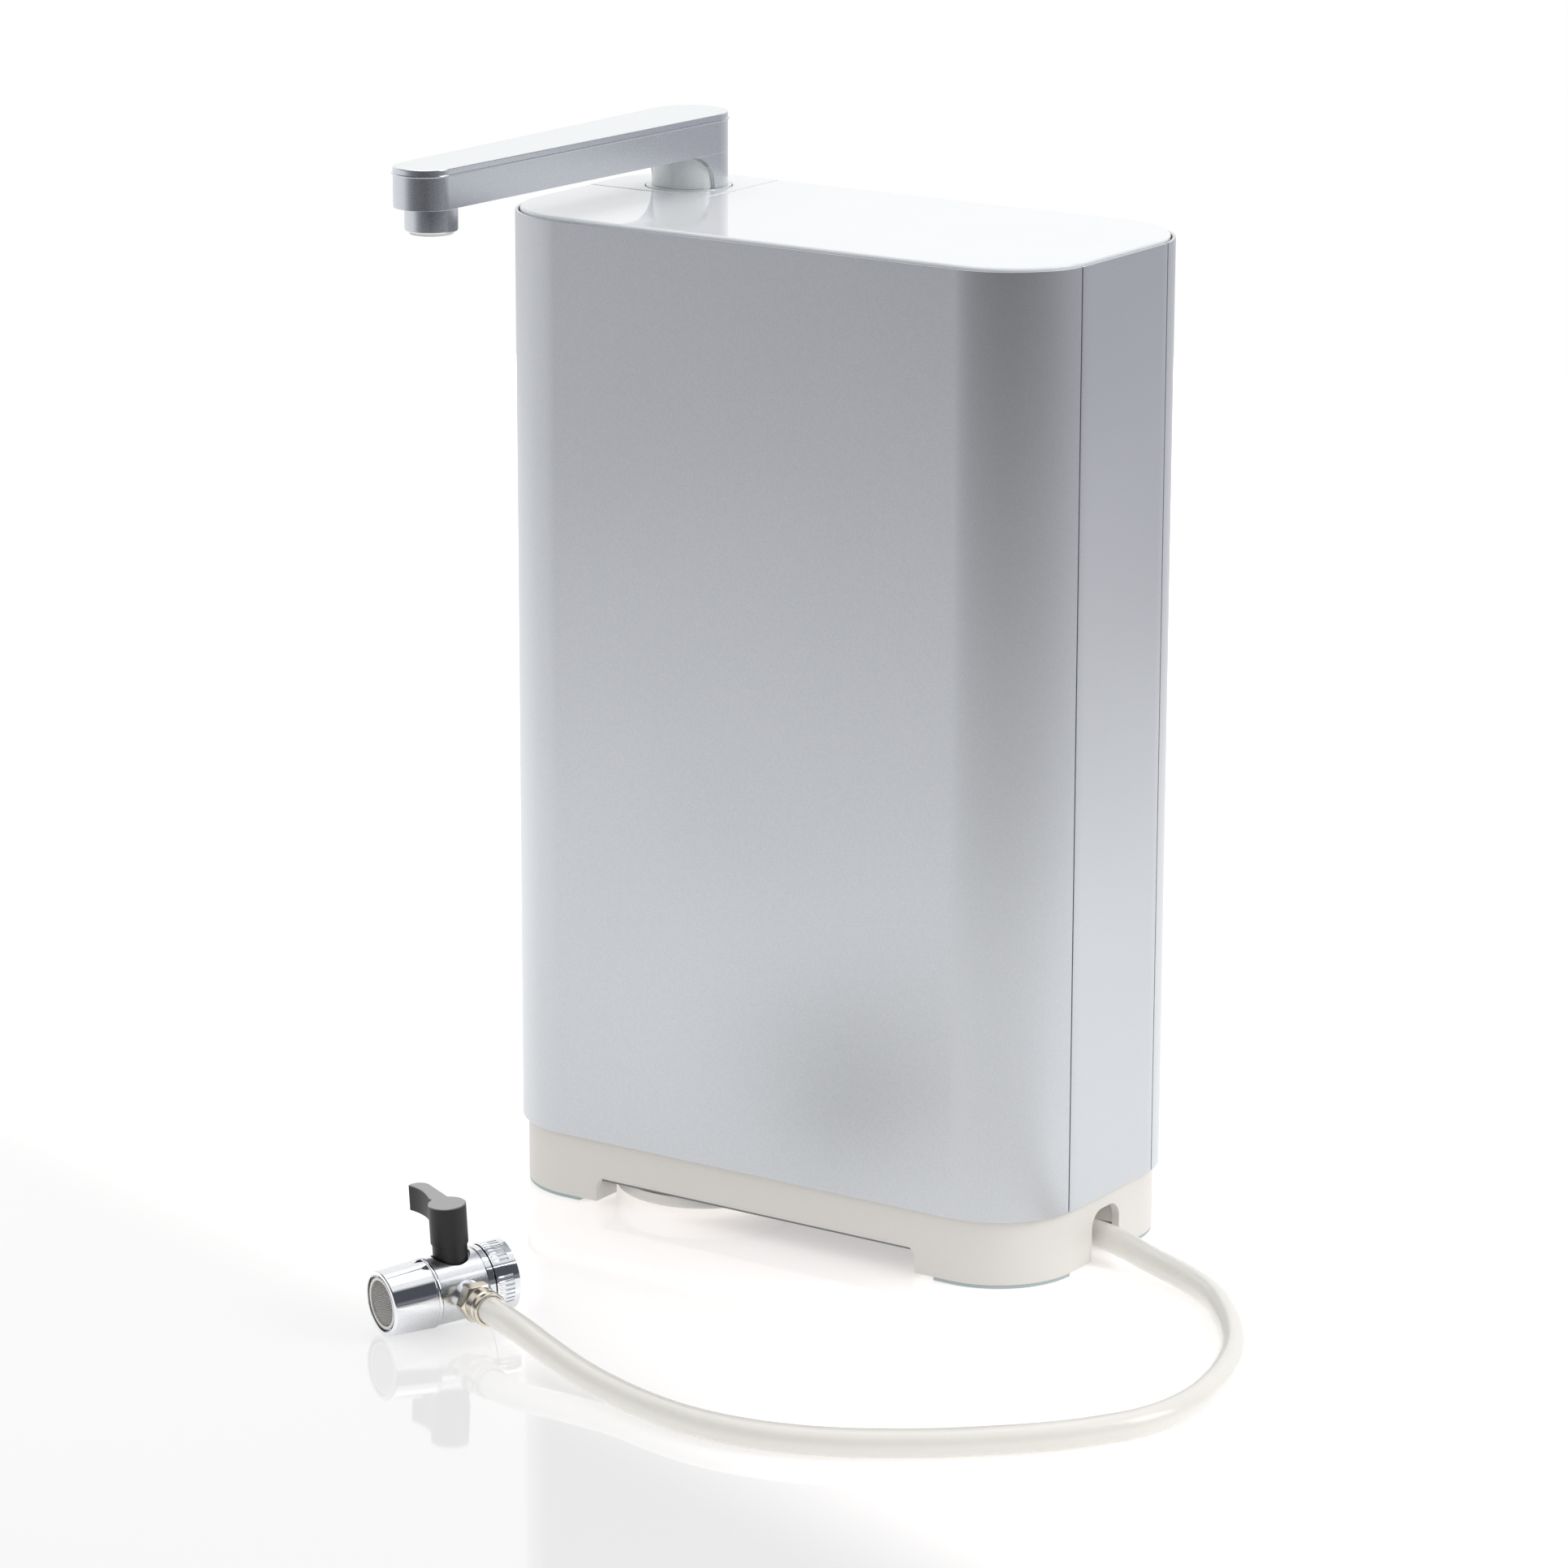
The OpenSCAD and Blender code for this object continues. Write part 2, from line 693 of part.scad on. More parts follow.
module spout_tile() color(white) in_body() slab(glass_z, glass_t) difference() {
  intersection() {
    plan(glass_inset);
    tile_corner(seam_gap/2);
  }
  translate([spout_x, spout_y]) circle(collar_r + pass_gap);
}

// Spout
module spout_bush() color(silver) at_spout() difference() {
  union() {
    slab(rack_z, collar_z - rack_z) circle(bush_r);
    slab(glass_z, collar_z - glass_z) circle(collar_r);
  }
  slab(rack_z - over, collar_z) circle(stem_r + run_gap);
}

module spout_socket() color(grey) at_spout() difference() {
  union() {
    slab(rack_z - socket_h, socket_h) circle(bush_r);
    translate([0, 0, outlet_z]) rod_front(port_boss_r, port_boss_l);
  }
  slab(outlet_z - tube_r, socket_h) circle(stem_r + run_gap);
  translate([0, 0, outlet_z]) rod_front(tube_bore_r, body_d);
}

module spout_stem() color(chrome) on_spout() difference() {
  slab(stem_end, stem_top - stem_end) circle(stem_r);
  slab(stem_end - over, stem_top) circle(stem_bore_r);
  for (z = stem_seal_z) slab(z - seal_t - fit_gap, 2*(seal_t + fit_gap)) difference() {
    circle(stem_r + over);
    circle(stem_r - 2*seal_t - fit_gap);
  }
}

module stem_seals() color(black) on_spout() for (z = stem_seal_z) seal(stem_r, seal_t, z);

module spout_column() color(silver) on_spout() difference() {
  slab(neck_z, neck_h) circle(column_r);
  slab(neck_z - over, neck_h + 2*over) circle(stem_r + run_gap);
}

// The arm reaches down behind the column, and a round hollow parts it from the column in front
module spout_arm() color(silver) on_spout() difference() {
  union() {
    slab(arm_z, arm_h) arm_plan(0);
    difference() {
      slab(neck_z, neck_h + over) arm_plan(0);
      span([-body_w, -spout_reach - body_d, neck_z - over], [body_w, arch_y, arm_z]);
      translate([-body_w, arch_y, arm_z - arch_under_r]) rod_x(arch_under_r, 2*body_w);
      span([-body_w, arch_y, neck_z - over], [body_w, arch_y + arch_under_r, arm_z - arch_under_r]);
    }
  }
  slab(arm_z + arm_floor, arm_h) arm_plan(arm_wall);
  slab(neck_z - over, neck_h + over) circle(column_r + fit_gap);
  slab(neck_z, cover_top) circle(stem_r + run_gap);
  translate([0, -spout_reach, 0]) slab(neck_z, cover_top) circle(nozzle_neck_r + run_gap);
}

module spout_waterway() color(pale_blue) on_spout() difference() {
  union() {
    slab(stem_top, arm_top - stem_top - fit_gap) circle(hub_r);
    translate([0, -spout_reach, 0]) slab(stem_top, arm_top - stem_top - fit_gap) circle(hub_r);
    translate([0, 0, stem_top + waterway_r + fit_gap]) rod_front(waterway_r, spout_reach);
  }
  slab(stem_top - over, waterway_r + over) circle(stem_bore_r);
  translate([0, -spout_reach, 0]) slab(stem_top - over, waterway_r + over) circle(stem_bore_r);
  translate([0, 0, stem_top + waterway_r + fit_gap]) rod_front(waterway_bore_r, spout_reach);
}

module spout_cap() color(silver) on_spout() {
  slab(arm_top, spout_cap_t) arm_plan(0);
  slab(arm_top, lip_h) arm_plan(-lip);
}

module nozzle() color(silver) on_spout() translate([0, -spout_reach, 0]) difference() {
  union() {
    slab(arm_z - nozzle_drop, nozzle_drop) circle(nozzle_r);
    slab(arm_z - over, over + stem_top - arm_z) circle(nozzle_neck_r);
  }
  slab(arm_z - nozzle_drop - over, nozzle_drop - arm_floor + over) circle(nozzle_r - nozzle_wall);
  slab(neck_z - body_d, cover_top) circle(stem_bore_r);
}

module nozzle_insert() color(ivory) on_spout() translate([0, -spout_reach, 0]) difference() {
  slab(arm_z - nozzle_drop + insert_rise, nozzle_drop - arm_floor - insert_rise)
    circle(nozzle_r - nozzle_wall - fit_gap);
  slab(arm_z - nozzle_drop, nozzle_drop) circle(stem_bore_r);
}

// Filters
module at_filter(i) in_body() translate(second_at + [i*filter_pitch, 0, 0]) children();

module manifold() color(grey) difference() {
  union() {
    in_body() span([manifold_left, manifold_front, manifold_z], [manifold_right, manifold_back, rack_z]);
    for (i = [0, 1]) at_filter(i) slab(head_z, head_h + over) circle(head_r);
  }
  for (i = [0, 1]) at_filter(i) slab(head_z - over, neck_l + neck_step + pass_gap + over)
    circle(cartridge_neck_r + run_gap);
}

module filter_housing() color(white) in_body() translate(first_at) difference() {
  union() {
    slab(deck_top, housing_top - deck_top) circle(housing_r);
    slab(housing_top - over, manifold_z - housing_top + over) circle(housing_neck_r);
  }
  slab(deck_top - over, housing_top - housing_roof - deck_top + over) circle(housing_bore_r);
  slab(deck_top, manifold_z) circle(stem_bore_r);
}

module filter_element() color(white) in_body() translate(first_at) difference() {
  slab(cap_top + pass_gap, housing_top - housing_roof - cap_top - 2*pass_gap) circle(element_r);
  slab(cap_top + element_floor, housing_top) circle(hub_r);
}

module cartridge(i) at_filter(i) {
  slab(cartridge_top - cartridge_l, cartridge_l) circle(cartridge_r - neck_step);
  slab(cartridge_top - cartridge_l, cartridge_foot_h) circle(cartridge_r);
  slab(cartridge_top - cartridge_cap_h, cartridge_cap_h) circle(cartridge_r);
  slab(cartridge_top - over, neck_l + over) circle(cartridge_neck_r);
}

module second_cartridge() color(white) cartridge(0);

module third_cartridge() color(white) cartridge(1);

module outlet_tube() color(pale_blue) in_body() translate([spout_x, manifold_back, outlet_z]) difference() {
  rod_y(tube_r, spout_y - port_boss_l - manifold_back);
  translate([0, -over, 0]) rod_y(tube_bore_r, body_d);
}

module inlet_tube() color(pale_blue) in_body() translate([riser_at_x, 0, 0]) difference() {
  slab(riser_top, manifold_z - riser_top) circle(tube_r);
  slab(riser_top - over, cover_h) circle(tube_bore_r);
}

module inlet_connector() color(ivory) in_body() difference() {
  union() {
    translate([riser_at_x, 0, inlet_z]) rod_x(riser_r, mouth_x - riser_at_x);
    translate([riser_at_x, 0, 0]) {
      slab(inlet_z, riser_top - inlet_z) circle(riser_r);
      slab(tunnel_roof - riser_flange_t, riser_flange_t) circle(riser_r + riser_flange_w);
      translate([0, 0, inlet_z]) sphere(riser_r);
    }
  }
  translate([mouth_x - hose_depth, 0, inlet_z]) rod_x(hose_r + run_gap, body_w);
  translate([riser_at_x, 0, inlet_z]) rod_x(tube_bore_r, body_w);
  translate([riser_at_x, 0, 0]) slab(inlet_z, body_w) circle(tube_bore_r);
}

module inlet_nut() color(grey) in_body() translate([riser_at_x, 0, 0]) difference() {
  slab(tunnel_top, inlet_nut_h) circle(riser_r + inlet_nut_w, $fn = 6);
  slab(tunnel_top - over, inlet_nut_h + 2*over) circle(riser_r + run_gap);
}

module inlet_collet() color(grey) in_body() translate([mouth_x, 0, inlet_z]) difference() {
  rod_x(hose_r + collet_w, collet_l);
  translate([-over, 0, 0]) rod_x(hose_r + run_gap, body_w);
}

// Hose
module hose() color(ivory) sweep(hose_route, hose_r, hose_sides);

// Diverter valve
module valve_body() color(chrome) at_valve() difference() {
  union() {
    translate([-barrel_front, 0, 0]) rod_x(barrel_r, barrel_front + barrel_back);
    translate([barrel_back - ring_l, 0, 0]) rod_x(ring_r, ring_l);
    translate([-barrel_front - spigot_l, 0, 0]) rod_x(spigot_r, spigot_l + over);
    rod_x(nut_neck_r, flange_end);
    translate([neck_end, 0, 0]) rod_x(thread_r - fit_gap, flange_end - neck_end);
    rod_front(port_collar_r, boss_reach);
    rod_front(port_r, hose_end_off - port_gap);
  }
  translate([-body_w/2, 0, 0]) rod_x(tube_bore_r, body_w);
  rod_front(tube_bore_r, body_d);
  slab(spool_low - pass_gap, barrel_r - spool_low + over) circle(spool_r + run_gap);
  slab(seat_z, barrel_r) circle(lever_r + pass_gap);
}

module valve_spool() color(brass) at_valve() difference() {
  slab(spool_low, spool_top - spool_low) circle(spool_r);
  translate([-body_w/2, 0, 0]) rod_x(tube_bore_r, body_w);
  rod_front(tube_bore_r, body_d);
}

// The lever seen from above: a round head, and an arm with a round end and one hollow side
module lever_plan() {
  circle(lever_r);
  difference() {
    union() {
      polygon([[-lever_root_left, 0], [lever_root_right, 0], [lever_end_x + lever_end_r, lever_end_y],
        [-lever_root_left, lever_end_y]]);
      translate([lever_end_x, lever_end_y]) circle(lever_end_r);
    }
    translate([lever_hollow_x - lever_hollow_r, lever_hollow_y]) circle(lever_hollow_r);
  }
}

module valve_lever() color(black) at_valve() difference() {
  union() {
    slab(seat_z + pass_gap, lever_step_z - seat_z) circle(lever_foot_r);
    slab(lever_step_z, lever_top - lever_step_z) circle(lever_r);
    slab(lever_top - lever_t, lever_t) lever_plan();
  }
  slab(0, spool_top) circle(spool_r + run_gap);
}

module swivel_nut() color(chrome) at_valve() difference() {
  translate([nut_start, 0, 0]) rod_x(nut_r, nut_l);
  translate([nut_start - over, 0, 0]) rod_x(nut_neck_r + run_gap, nut_l);
  translate([nut_wall_end, 0, 0]) rod_x(thread_r + pass_gap, nut_end - thread_l - nut_wall_end);
  translate([nut_wall_end, 0, 0]) rod_x(thread_r, nut_l);
  for (g = [0:knurl_groups - 1], k = [0:knurl_per_group - 1])
    rotate([360*g/knurl_groups + k*knurl_step, 0, 0]) translate([nut_start + knurl_margin, 0, nut_r])
      rod_x(knurl_r, nut_l - knurl_margin - knurl_end, $fn = 16);
}

module nut_washer() color(black) at_valve() translate([flange_end, 0, 0]) difference() {
  rod_x(thread_r - fit_gap, washer_t);
  translate([-over, 0, 0]) rod_x(stem_bore_r, nut_l);
}

module aerator_shell() color(chrome) at_valve() translate([tip_x, 0, 0]) difference() {
  rotate([0, 90, 0]) cylinder(r1 = aerator_tip_r, r2 = aerator_r, h = aerator_l - fit_gap);
  translate([-over, 0, 0]) rod_x(lip_r, lip_depth + over);
  rod_x(screen_r + fit_gap, screen_depth + screen_t);
  rod_x(screen_r - screen_ledge, aerator_l);
  translate([aerator_l - spigot_l - pass_gap, 0, 0]) rod_x(spigot_r + run_gap, aerator_l);
}

module aerator_screen() color(grey) at_valve() translate([tip_x + screen_depth, 0, 0])
  rod_x(screen_r, screen_t);

// A hexagon with a round skirt towards the hose
module compression_nut() color(brass) at_valve() difference() {
  translate([0, -nut_off, 0]) union() {
    rotate([90, 0, 0]) cylinder(r = hex_af/sqrt(3), h = hex_flat_l, $fn = 6);
    rod_front(nut_skirt_r, hex_l);
  }
  rod_front(hose_r + run_gap, body_d);
}

module hose_sleeve() color(brass) at_valve() translate([0, -nut_off - hex_l, 0]) difference() {
  rod_front(hose_r + sleeve_w, sleeve_l);
  translate([0, over, 0]) rod_front(hose_r + run_gap, body_d);
}

foot_pads();
base_tray();
bottom_plate();
service_cap();
cap_seal();
chassis();
front_cover();
rear_cover();
side_panel_left();
side_panel_right();
cover_screws();
top_frame();
top_glass();
spout_tile();
spout_bush();
spout_socket();
spout_stem();
stem_seals();
spout_column();
spout_arm();
spout_waterway();
spout_cap();
nozzle();
nozzle_insert();
manifold();
filter_housing();
filter_element();
second_cartridge();
third_cartridge();
outlet_tube();
inlet_tube();
inlet_connector();
inlet_nut();
inlet_collet();
hose();
compression_nut();
hose_sleeve();
valve_body();
valve_spool();
valve_lever();
swivel_nut();
nut_washer();
aerator_shell();
aerator_screen();
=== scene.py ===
# %% [markdown]
# # A countertop water filter
# The real object is a tall metal case on a white base. A spout swivels over the sink, and a hose
# leads to a diverter valve that screws onto the tap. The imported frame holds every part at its
# real size and place. This lesson adds the camera, the hose, the rounded edges that catch the
# light, the finishes and a plain white studio.

# %% Load the frame
import json
import math

import bmesh
import bpy
from mathutils import Euler, Matrix, Vector


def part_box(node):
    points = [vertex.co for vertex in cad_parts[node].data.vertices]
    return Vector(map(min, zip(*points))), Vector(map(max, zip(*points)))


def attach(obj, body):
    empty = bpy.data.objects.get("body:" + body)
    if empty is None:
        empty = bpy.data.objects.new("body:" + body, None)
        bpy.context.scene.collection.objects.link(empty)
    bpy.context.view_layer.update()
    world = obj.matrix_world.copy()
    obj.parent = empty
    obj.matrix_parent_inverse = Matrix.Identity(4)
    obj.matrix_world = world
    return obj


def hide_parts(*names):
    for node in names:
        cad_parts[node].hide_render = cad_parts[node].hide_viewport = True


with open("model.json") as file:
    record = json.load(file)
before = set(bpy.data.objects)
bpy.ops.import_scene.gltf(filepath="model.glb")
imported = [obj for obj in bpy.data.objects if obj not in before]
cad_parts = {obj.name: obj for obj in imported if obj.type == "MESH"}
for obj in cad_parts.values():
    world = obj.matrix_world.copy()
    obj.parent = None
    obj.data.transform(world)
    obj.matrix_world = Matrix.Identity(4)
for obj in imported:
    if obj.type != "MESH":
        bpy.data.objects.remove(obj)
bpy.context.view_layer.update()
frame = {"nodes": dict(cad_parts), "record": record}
MM = 0.001

# %% [markdown]
# ## Camera
# The picture that the model follows was taken with a long lens, from the right and a little
# above. A camera could be placed by eye, but these values come from fitting the body's edges and
# seams, so the pieces land on the same places of the picture.

# %% Camera
AZIMUTH = math.radians(34.0095)
ELEVATION = math.radians(15.0035)
ROLL = math.radians(0.126)
CAMERA_AT = (1.2179, -1.8017, 0.7534)
SENSOR, LENS = 36, 141.92
camera_data = bpy.data.cameras.new("studio_camera")
camera_data.sensor_width = SENSOR
camera_data.lens = LENS
camera_data.clip_end = 20
camera = bpy.data.objects.new("studio_camera", camera_data)
bpy.context.scene.collection.objects.link(camera)
aim = Euler((math.pi / 2 - ELEVATION, 0, AZIMUTH)).to_matrix().to_4x4()
camera.matrix_world = Matrix.Translation(CAMERA_AT) @ aim @ Matrix.Rotation(ROLL, 4, "Z")
bpy.context.scene.camera = camera
print("camera: lens", camera_data.lens, "mm at", [round(v, 3) for v in camera.location])

# %% [markdown]
# ## Hose
# The hose is a length of plastic tube that lies on the counter in one loose loop. A mesh tube
# would do, but a curve keeps the route as a few points, and its bevel gives it the round section.
# It starts inside the inlet connector and ends inside the compression nut of the valve.

# %% Hose
HOSE_D = 10 * MM
HOSE_ROUTE = [
    (86, 39.5, 9.5), (102, 39.5, 9.5), (120, 38, 8.8), (130, 35.5, 7.8), (142, 31.5, 6.6),
    (160, 25, 5.4), (177, 14.5, 5.2), (193, -2, 5.2), (205, -18, 5.2), (213, -32, 5.2),
    (219, -47, 5.2), (224, -66, 5.2), (225.9, -87, 5.2), (222.5, -107, 5.2), (213.5, -124, 5.2),
    (202, -139, 5.2), (189, -152, 5.2), (176, -163.5, 5.2), (162, -173.5, 5.2), (149, -181.5, 5.2),
    (134, -188, 5.2), (117, -192.5, 5.2), (98, -193.9, 5.2), (77, -191, 5.2), (60, -186.5, 5.4),
    (43.6, -182.3, 6.8), (24.9, -176.4, 9.4), (8, -170.6, 12.2), (-6.41, -165.07, 13.57),
    (-16.88, -160.07, 13.57),
]
hose_curve = bpy.data.curves.new("inlet_hose", "CURVE")
hose_curve.dimensions = "3D"
hose_curve.resolution_u = 8
hose_curve.bevel_depth = HOSE_D / 2
hose_curve.bevel_resolution = 10
hose_curve.use_fill_caps = True
hose_line = hose_curve.splines.new("BEZIER")
hose_line.bezier_points.add(len(HOSE_ROUTE) - 1)
for point, place in zip(hose_line.bezier_points, HOSE_ROUTE):
    point.co = Vector(place) * MM
    point.handle_left_type = "AUTO"
    point.handle_right_type = "AUTO"
hose = bpy.data.objects.new("inlet_hose", hose_curve)
bpy.context.scene.collection.objects.link(hose)
bpy.context.view_layer.update()
print("hose: length", round(hose_line.calc_length(), 4), "m")

# %% [markdown]
# ## Shader maths
# A finish is a network of nodes. Wiring each node by hand is long, so a small class wraps a
# node's output: sums and products on it add Math nodes. One function adds any other node from its
# type, its settings and what goes into its sockets. A second class holds a material while its
# network is put together.


# %% Socket
class Socket:
    """A node's output. Maths on it adds Math nodes to the same tree."""

    def __init__(self, link):
        self.link = link

    def maths(self, operation, other, turned=False):
        node = self.link.id_data.nodes.new("ShaderNodeMath")
        node.operation = operation
        pair = (other, self) if turned else (self, other)
        for socket, value in zip(node.inputs, pair):
            feed(socket, value)
        return Socket(node.outputs[0])

    def __add__(self, other):
        return self.maths("ADD", other)

    __radd__ = __add__

    def __mul__(self, other):
        return self.maths("MULTIPLY", other)

    __rmul__ = __mul__

    def __sub__(self, other):
        return self.maths("SUBTRACT", other)

    def __rsub__(self, other):
        return self.maths("SUBTRACT", other, turned=True)

    def __lt__(self, other):
        return self.maths("LESS_THAN", other)


def feed(socket, value):
    """Links a Socket, or sets a plain number, colour or vector."""
    if isinstance(value, Socket):
        socket.id_data.links.new(value.link, socket)
    else:
        socket.default_value = value


def add_node(tree, kind, settings=None, sockets=None, output=0):
    """Any node: its type, its settings, and the values or links of its sockets."""
    node = tree.nodes.new("ShaderNode" + kind)
    for name, value in (settings or {}).items():
        if name == "stops":
            ramp = node.color_ramp.elements
            while len(ramp) < len(value):
                ramp.new(1)
            for stop, (place, colour) in zip(ramp, value):
                stop.position = place
                stop.color = colour
        else:
            setattr(node, name, value)
    for name, value in (sockets or {}).items():
        feed(node.inputs[name], value)
    return Socket(node.outputs[output])


def blend(tree, amount, first, second):
    """One colour fading into another."""
    return add_node(tree, "Mix", {"data_type": "RGBA"}, {0: amount, 6: first, 7: second}, output=2)


def vectors(tree, operation, first, second=(0, 0, 0)):
    """Maths on vectors. It gives a number for a length, a distance or a dot product."""
    gives_number = operation in ("LENGTH", "DISTANCE", "DOT_PRODUCT")
    return add_node(tree, "VectorMath", {"operation": operation}, {0: first, 1: second},
                    output=1 if gives_number else 0)


print("sockets can add, multiply, subtract and compare")


# %% Finish
class Finish:
    """A material in the making: a tree with one main shader, on Object coordinates."""

    def __init__(self, name, fixed):
        self.material = bpy.data.materials.new(name + "_finish")
        self.material.use_nodes = True
        self.tree = self.material.node_tree
        self.shader = self.tree.nodes["Principled BSDF"]
        self.place = self.node("TexCoord", output=3)
        for socket, value in fixed.items():
            self.shader.inputs[socket].default_value = value

    def node(self, kind, settings=None, sockets=None, output=0):
        return add_node(self.tree, kind, settings, sockets, output)

    def set(self, socket, value):
        feed(self.shader.inputs[socket], value)

    def grain(self, scale, detail=2.0, rough=0.5):
        """Noise from 0 to 1 whose spots are about 1/scale metres wide."""
        return self.node("TexNoise", {}, {"Vector": self.place, "Scale": scale, "Detail": detail,
                                          "Roughness": rough})

    def mix(self, amount, first, second):
        return blend(self.tree, amount, first, second)

    def bump(self, height, depth):
        """Raises the surface by the height, times a depth in metres."""
        self.set("Normal", self.node("Bump", {}, {"Height": height, "Distance": depth}))


def rgb(red, green, blue):
    """A colour from the 0 to 255 values that a screen shows."""
    def linear(level):
        share = level / 255
        return share / 12.92 if share <= 0.04045 else ((share + 0.055) / 1.055) ** 2.4

    return (linear(red), linear(green), linear(blue), 1)


print("white is", rgb(255, 255, 255))

# %% [markdown]
# ## Metal finishes
# The case is sheet metal in a satin silver paint. Fine metal flakes in it make a grain that shows
# where the reflection is dark. The spout has the same colour with less grain. Its neck, collar,
# underside and a thin ring at the nozzle's top are painted pale and less metallic: painted light,
# where they would mirror dark. The valve is plated in bright chrome, and the nut on the hose is
# nickel with a warm tint.


# %% Metal finishes
joints = {joint["name"]: joint for joint in frame["record"]["behaviour"]["joints"]}


def along_joint(finish, name):
    """How far a place lies along the axis of a joint, in metres from the joint."""
    joint = joints[name]
    place = vectors(finish.tree, "SUBTRACT", finish.place, joint["pos_m"])
    return vectors(finish.tree, "DOT_PRODUCT", place, joint["axis"])


def silver_paint():
    paint = Finish("silver_paint", {"Metallic": 0.9, "Coat Weight": 0.1, "Coat Roughness": 0.25})
    flake = paint.grain(2600, 3)
    cloud = paint.grain(9, 1)
    paint.set("Base Color", paint.mix(flake * 0.75 + cloud * 0.25, rgb(180, 183, 187), rgb(222, 224, 227)))
    paint.set("Roughness", flake * 0.1 + 0.3)
    paint.bump(flake, 0.00002)
    return paint.material


NECK_WITHIN, NOZZLE_BEYOND = 14 * MM, 100 * MM
HIGHLIGHT_RING_HEIGHT = 0.75 * MM
COLLAR_SLACK, ARM_SLACK = 0.02 * MM, 0.05 * MM


def spout_silver():
    """Silver on the arm; under it, on the neck, the collar and a ring at the nozzle's top it is painted
    paler, as painted light.
    """
    silver = Finish("spout_silver", {"Coat Weight": 0.2, "Coat Roughness": 0.12})
    flake = silver.grain(2200, 3)
    height = silver.node("SeparateXYZ", {}, {"Vector": silver.place}, output=2)
    from_joint = vectors(silver.tree, "SUBTRACT", silver.place, joints["spout_swivel"]["pos_m"])
    in_plan = vectors(silver.tree, "MULTIPLY", from_joint, (1, 1, 0))
    from_axis = vectors(silver.tree, "LENGTH", in_plan)
    under_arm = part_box("spout_column")[1].z
    # Painted light: these masks mark where the spout is painted pale, with a painted highlight ring at the
    # nozzle's top.
    neck = (from_axis < NECK_WITHIN) * (height < under_arm)
    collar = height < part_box("spout_bush")[1].z + COLLAR_SLACK
    nozzle = 1 - (from_axis < NOZZLE_BEYOND)
    ring = nozzle * ((height < under_arm) - (height < under_arm - HIGHLIGHT_RING_HEIGHT))
    underside = (height < under_arm + ARM_SLACK) - (height < under_arm - ARM_SLACK)
    painted_light = neck.maths("MAXIMUM", collar).maths("MAXIMUM", ring).maths("MAXIMUM", underside)
    metal = silver.mix(flake, rgb(206, 210, 215), rgb(236, 239, 242))
    # The pale colour and lower metalness are painted light, not the spout's own finish.
    silver.set("Base Color", silver.mix(painted_light, metal, rgb(222, 226, 227)))
    silver.set("Metallic", 1 - painted_light * 0.7)
    silver.set("Roughness", flake * 0.08 + 0.22)
    silver.bump(flake, 0.00001)
    return silver.material


BARREL_FROM, BARREL_TO = -9.85 * MM, 8.7 * MM


def chrome():
    """Bright plate on the aerator and the nut, satin on the barrel between them."""
    plate = Finish("valve_chrome", {"Metallic": 1.0})
    along = along_joint(plate, "tap_nut_spin")
    barrel = (along < BARREL_TO) - (along < BARREL_FROM)
    wave = plate.grain(70, 1)
    speck = plate.grain(1500, 2)
    plate.set("Base Color", plate.mix(speck, rgb(214, 217, 220), rgb(240, 241, 243)))
    plate.set("Roughness", speck * 0.04 + 0.03 + barrel * (0.14 + speck * 0.06))
    plate.bump(wave, 0.00006)
    return plate.material


def nickel_brass():
    nickel = Finish("nickel_brass", {"Metallic": 1.0})
    smear = nickel.grain(240, 3)
    nickel.set("Base Color", nickel.mix(smear, rgb(212, 200, 180), rgb(236, 230, 219)))
    nickel.set("Roughness", smear * 0.12 + 0.2)
    nickel.bump(smear, 0.00003)
    return nickel.material


def screw_steel():
    steel = Finish("screw_steel", {"Metallic": 1.0})
    scuff = steel.grain(900, 3)
    steel.set("Base Color", steel.mix(scuff, rgb(170, 173, 177), rgb(205, 207, 210)))
    steel.set("Roughness", scuff * 0.2 + 0.22)
    steel.bump(scuff, 0.00002)
    return steel.material


PAINTED_SHADE_FROM = -26.9 * MM


def screen_mesh():
    """Bright wires in front of a backing painted dark: painted shade inside the bore."""
    wire = Finish("screen_mesh", {"Metallic": 0.5})
    front = along_joint(wire, "tap_nut_spin") < PAINTED_SHADE_FROM
    dull = wire.grain(1800, 2)
    metal = wire.mix(dull, rgb(196, 194, 190), rgb(226, 224, 220))
    # Behind the screen the colour is painted dark, as painted shade.
    wire.set("Base Color", wire.mix(front, rgb(58, 57, 56), metal))
    wire.set("Roughness", dull * 0.2 + 0.3)
    return wire.material


FINISHES = {
    "silver_paint": silver_paint(),
    "spout_silver": spout_silver(),
    "valve_chrome": chrome(),
    "nickel_brass": nickel_brass(),
    "screw_steel": screw_steel(),
    "screen_mesh": screen_mesh(),
}
print("metal finishes:", ", ".join(FINISHES))

# %% [markdown]
# ## Plastic, rubber and glass finishes
# The base is warm white moulded plastic with a fine spark texture. The top is white glass: the
# colour lies under a clear face, and the cut edge looks a little bluer. Inside are natural white
# filters, grey mouldings and water tubes.


# %% Plastic, rubber and glass finishes
def moulded(name, dark, light, rough, scale=1400, depth=0.00003, coat=0.0):
    """Moulded plastic: a fine spark texture, and colour that drifts a little."""
    plastic = Finish(name, {"Coat Weight": coat, "Coat Roughness": 0.15})
    spark = plastic.grain(scale, 3)
    drift = plastic.grain(14, 2)
    plastic.set("Base Color", plastic.mix(spark * 0.4 + drift * 0.6, dark, light))
    plastic.set("Roughness", spark * 0.12 + rough)
    plastic.bump(spark, depth)
    return plastic.material


CUT_BELOW = 0.6 * MM


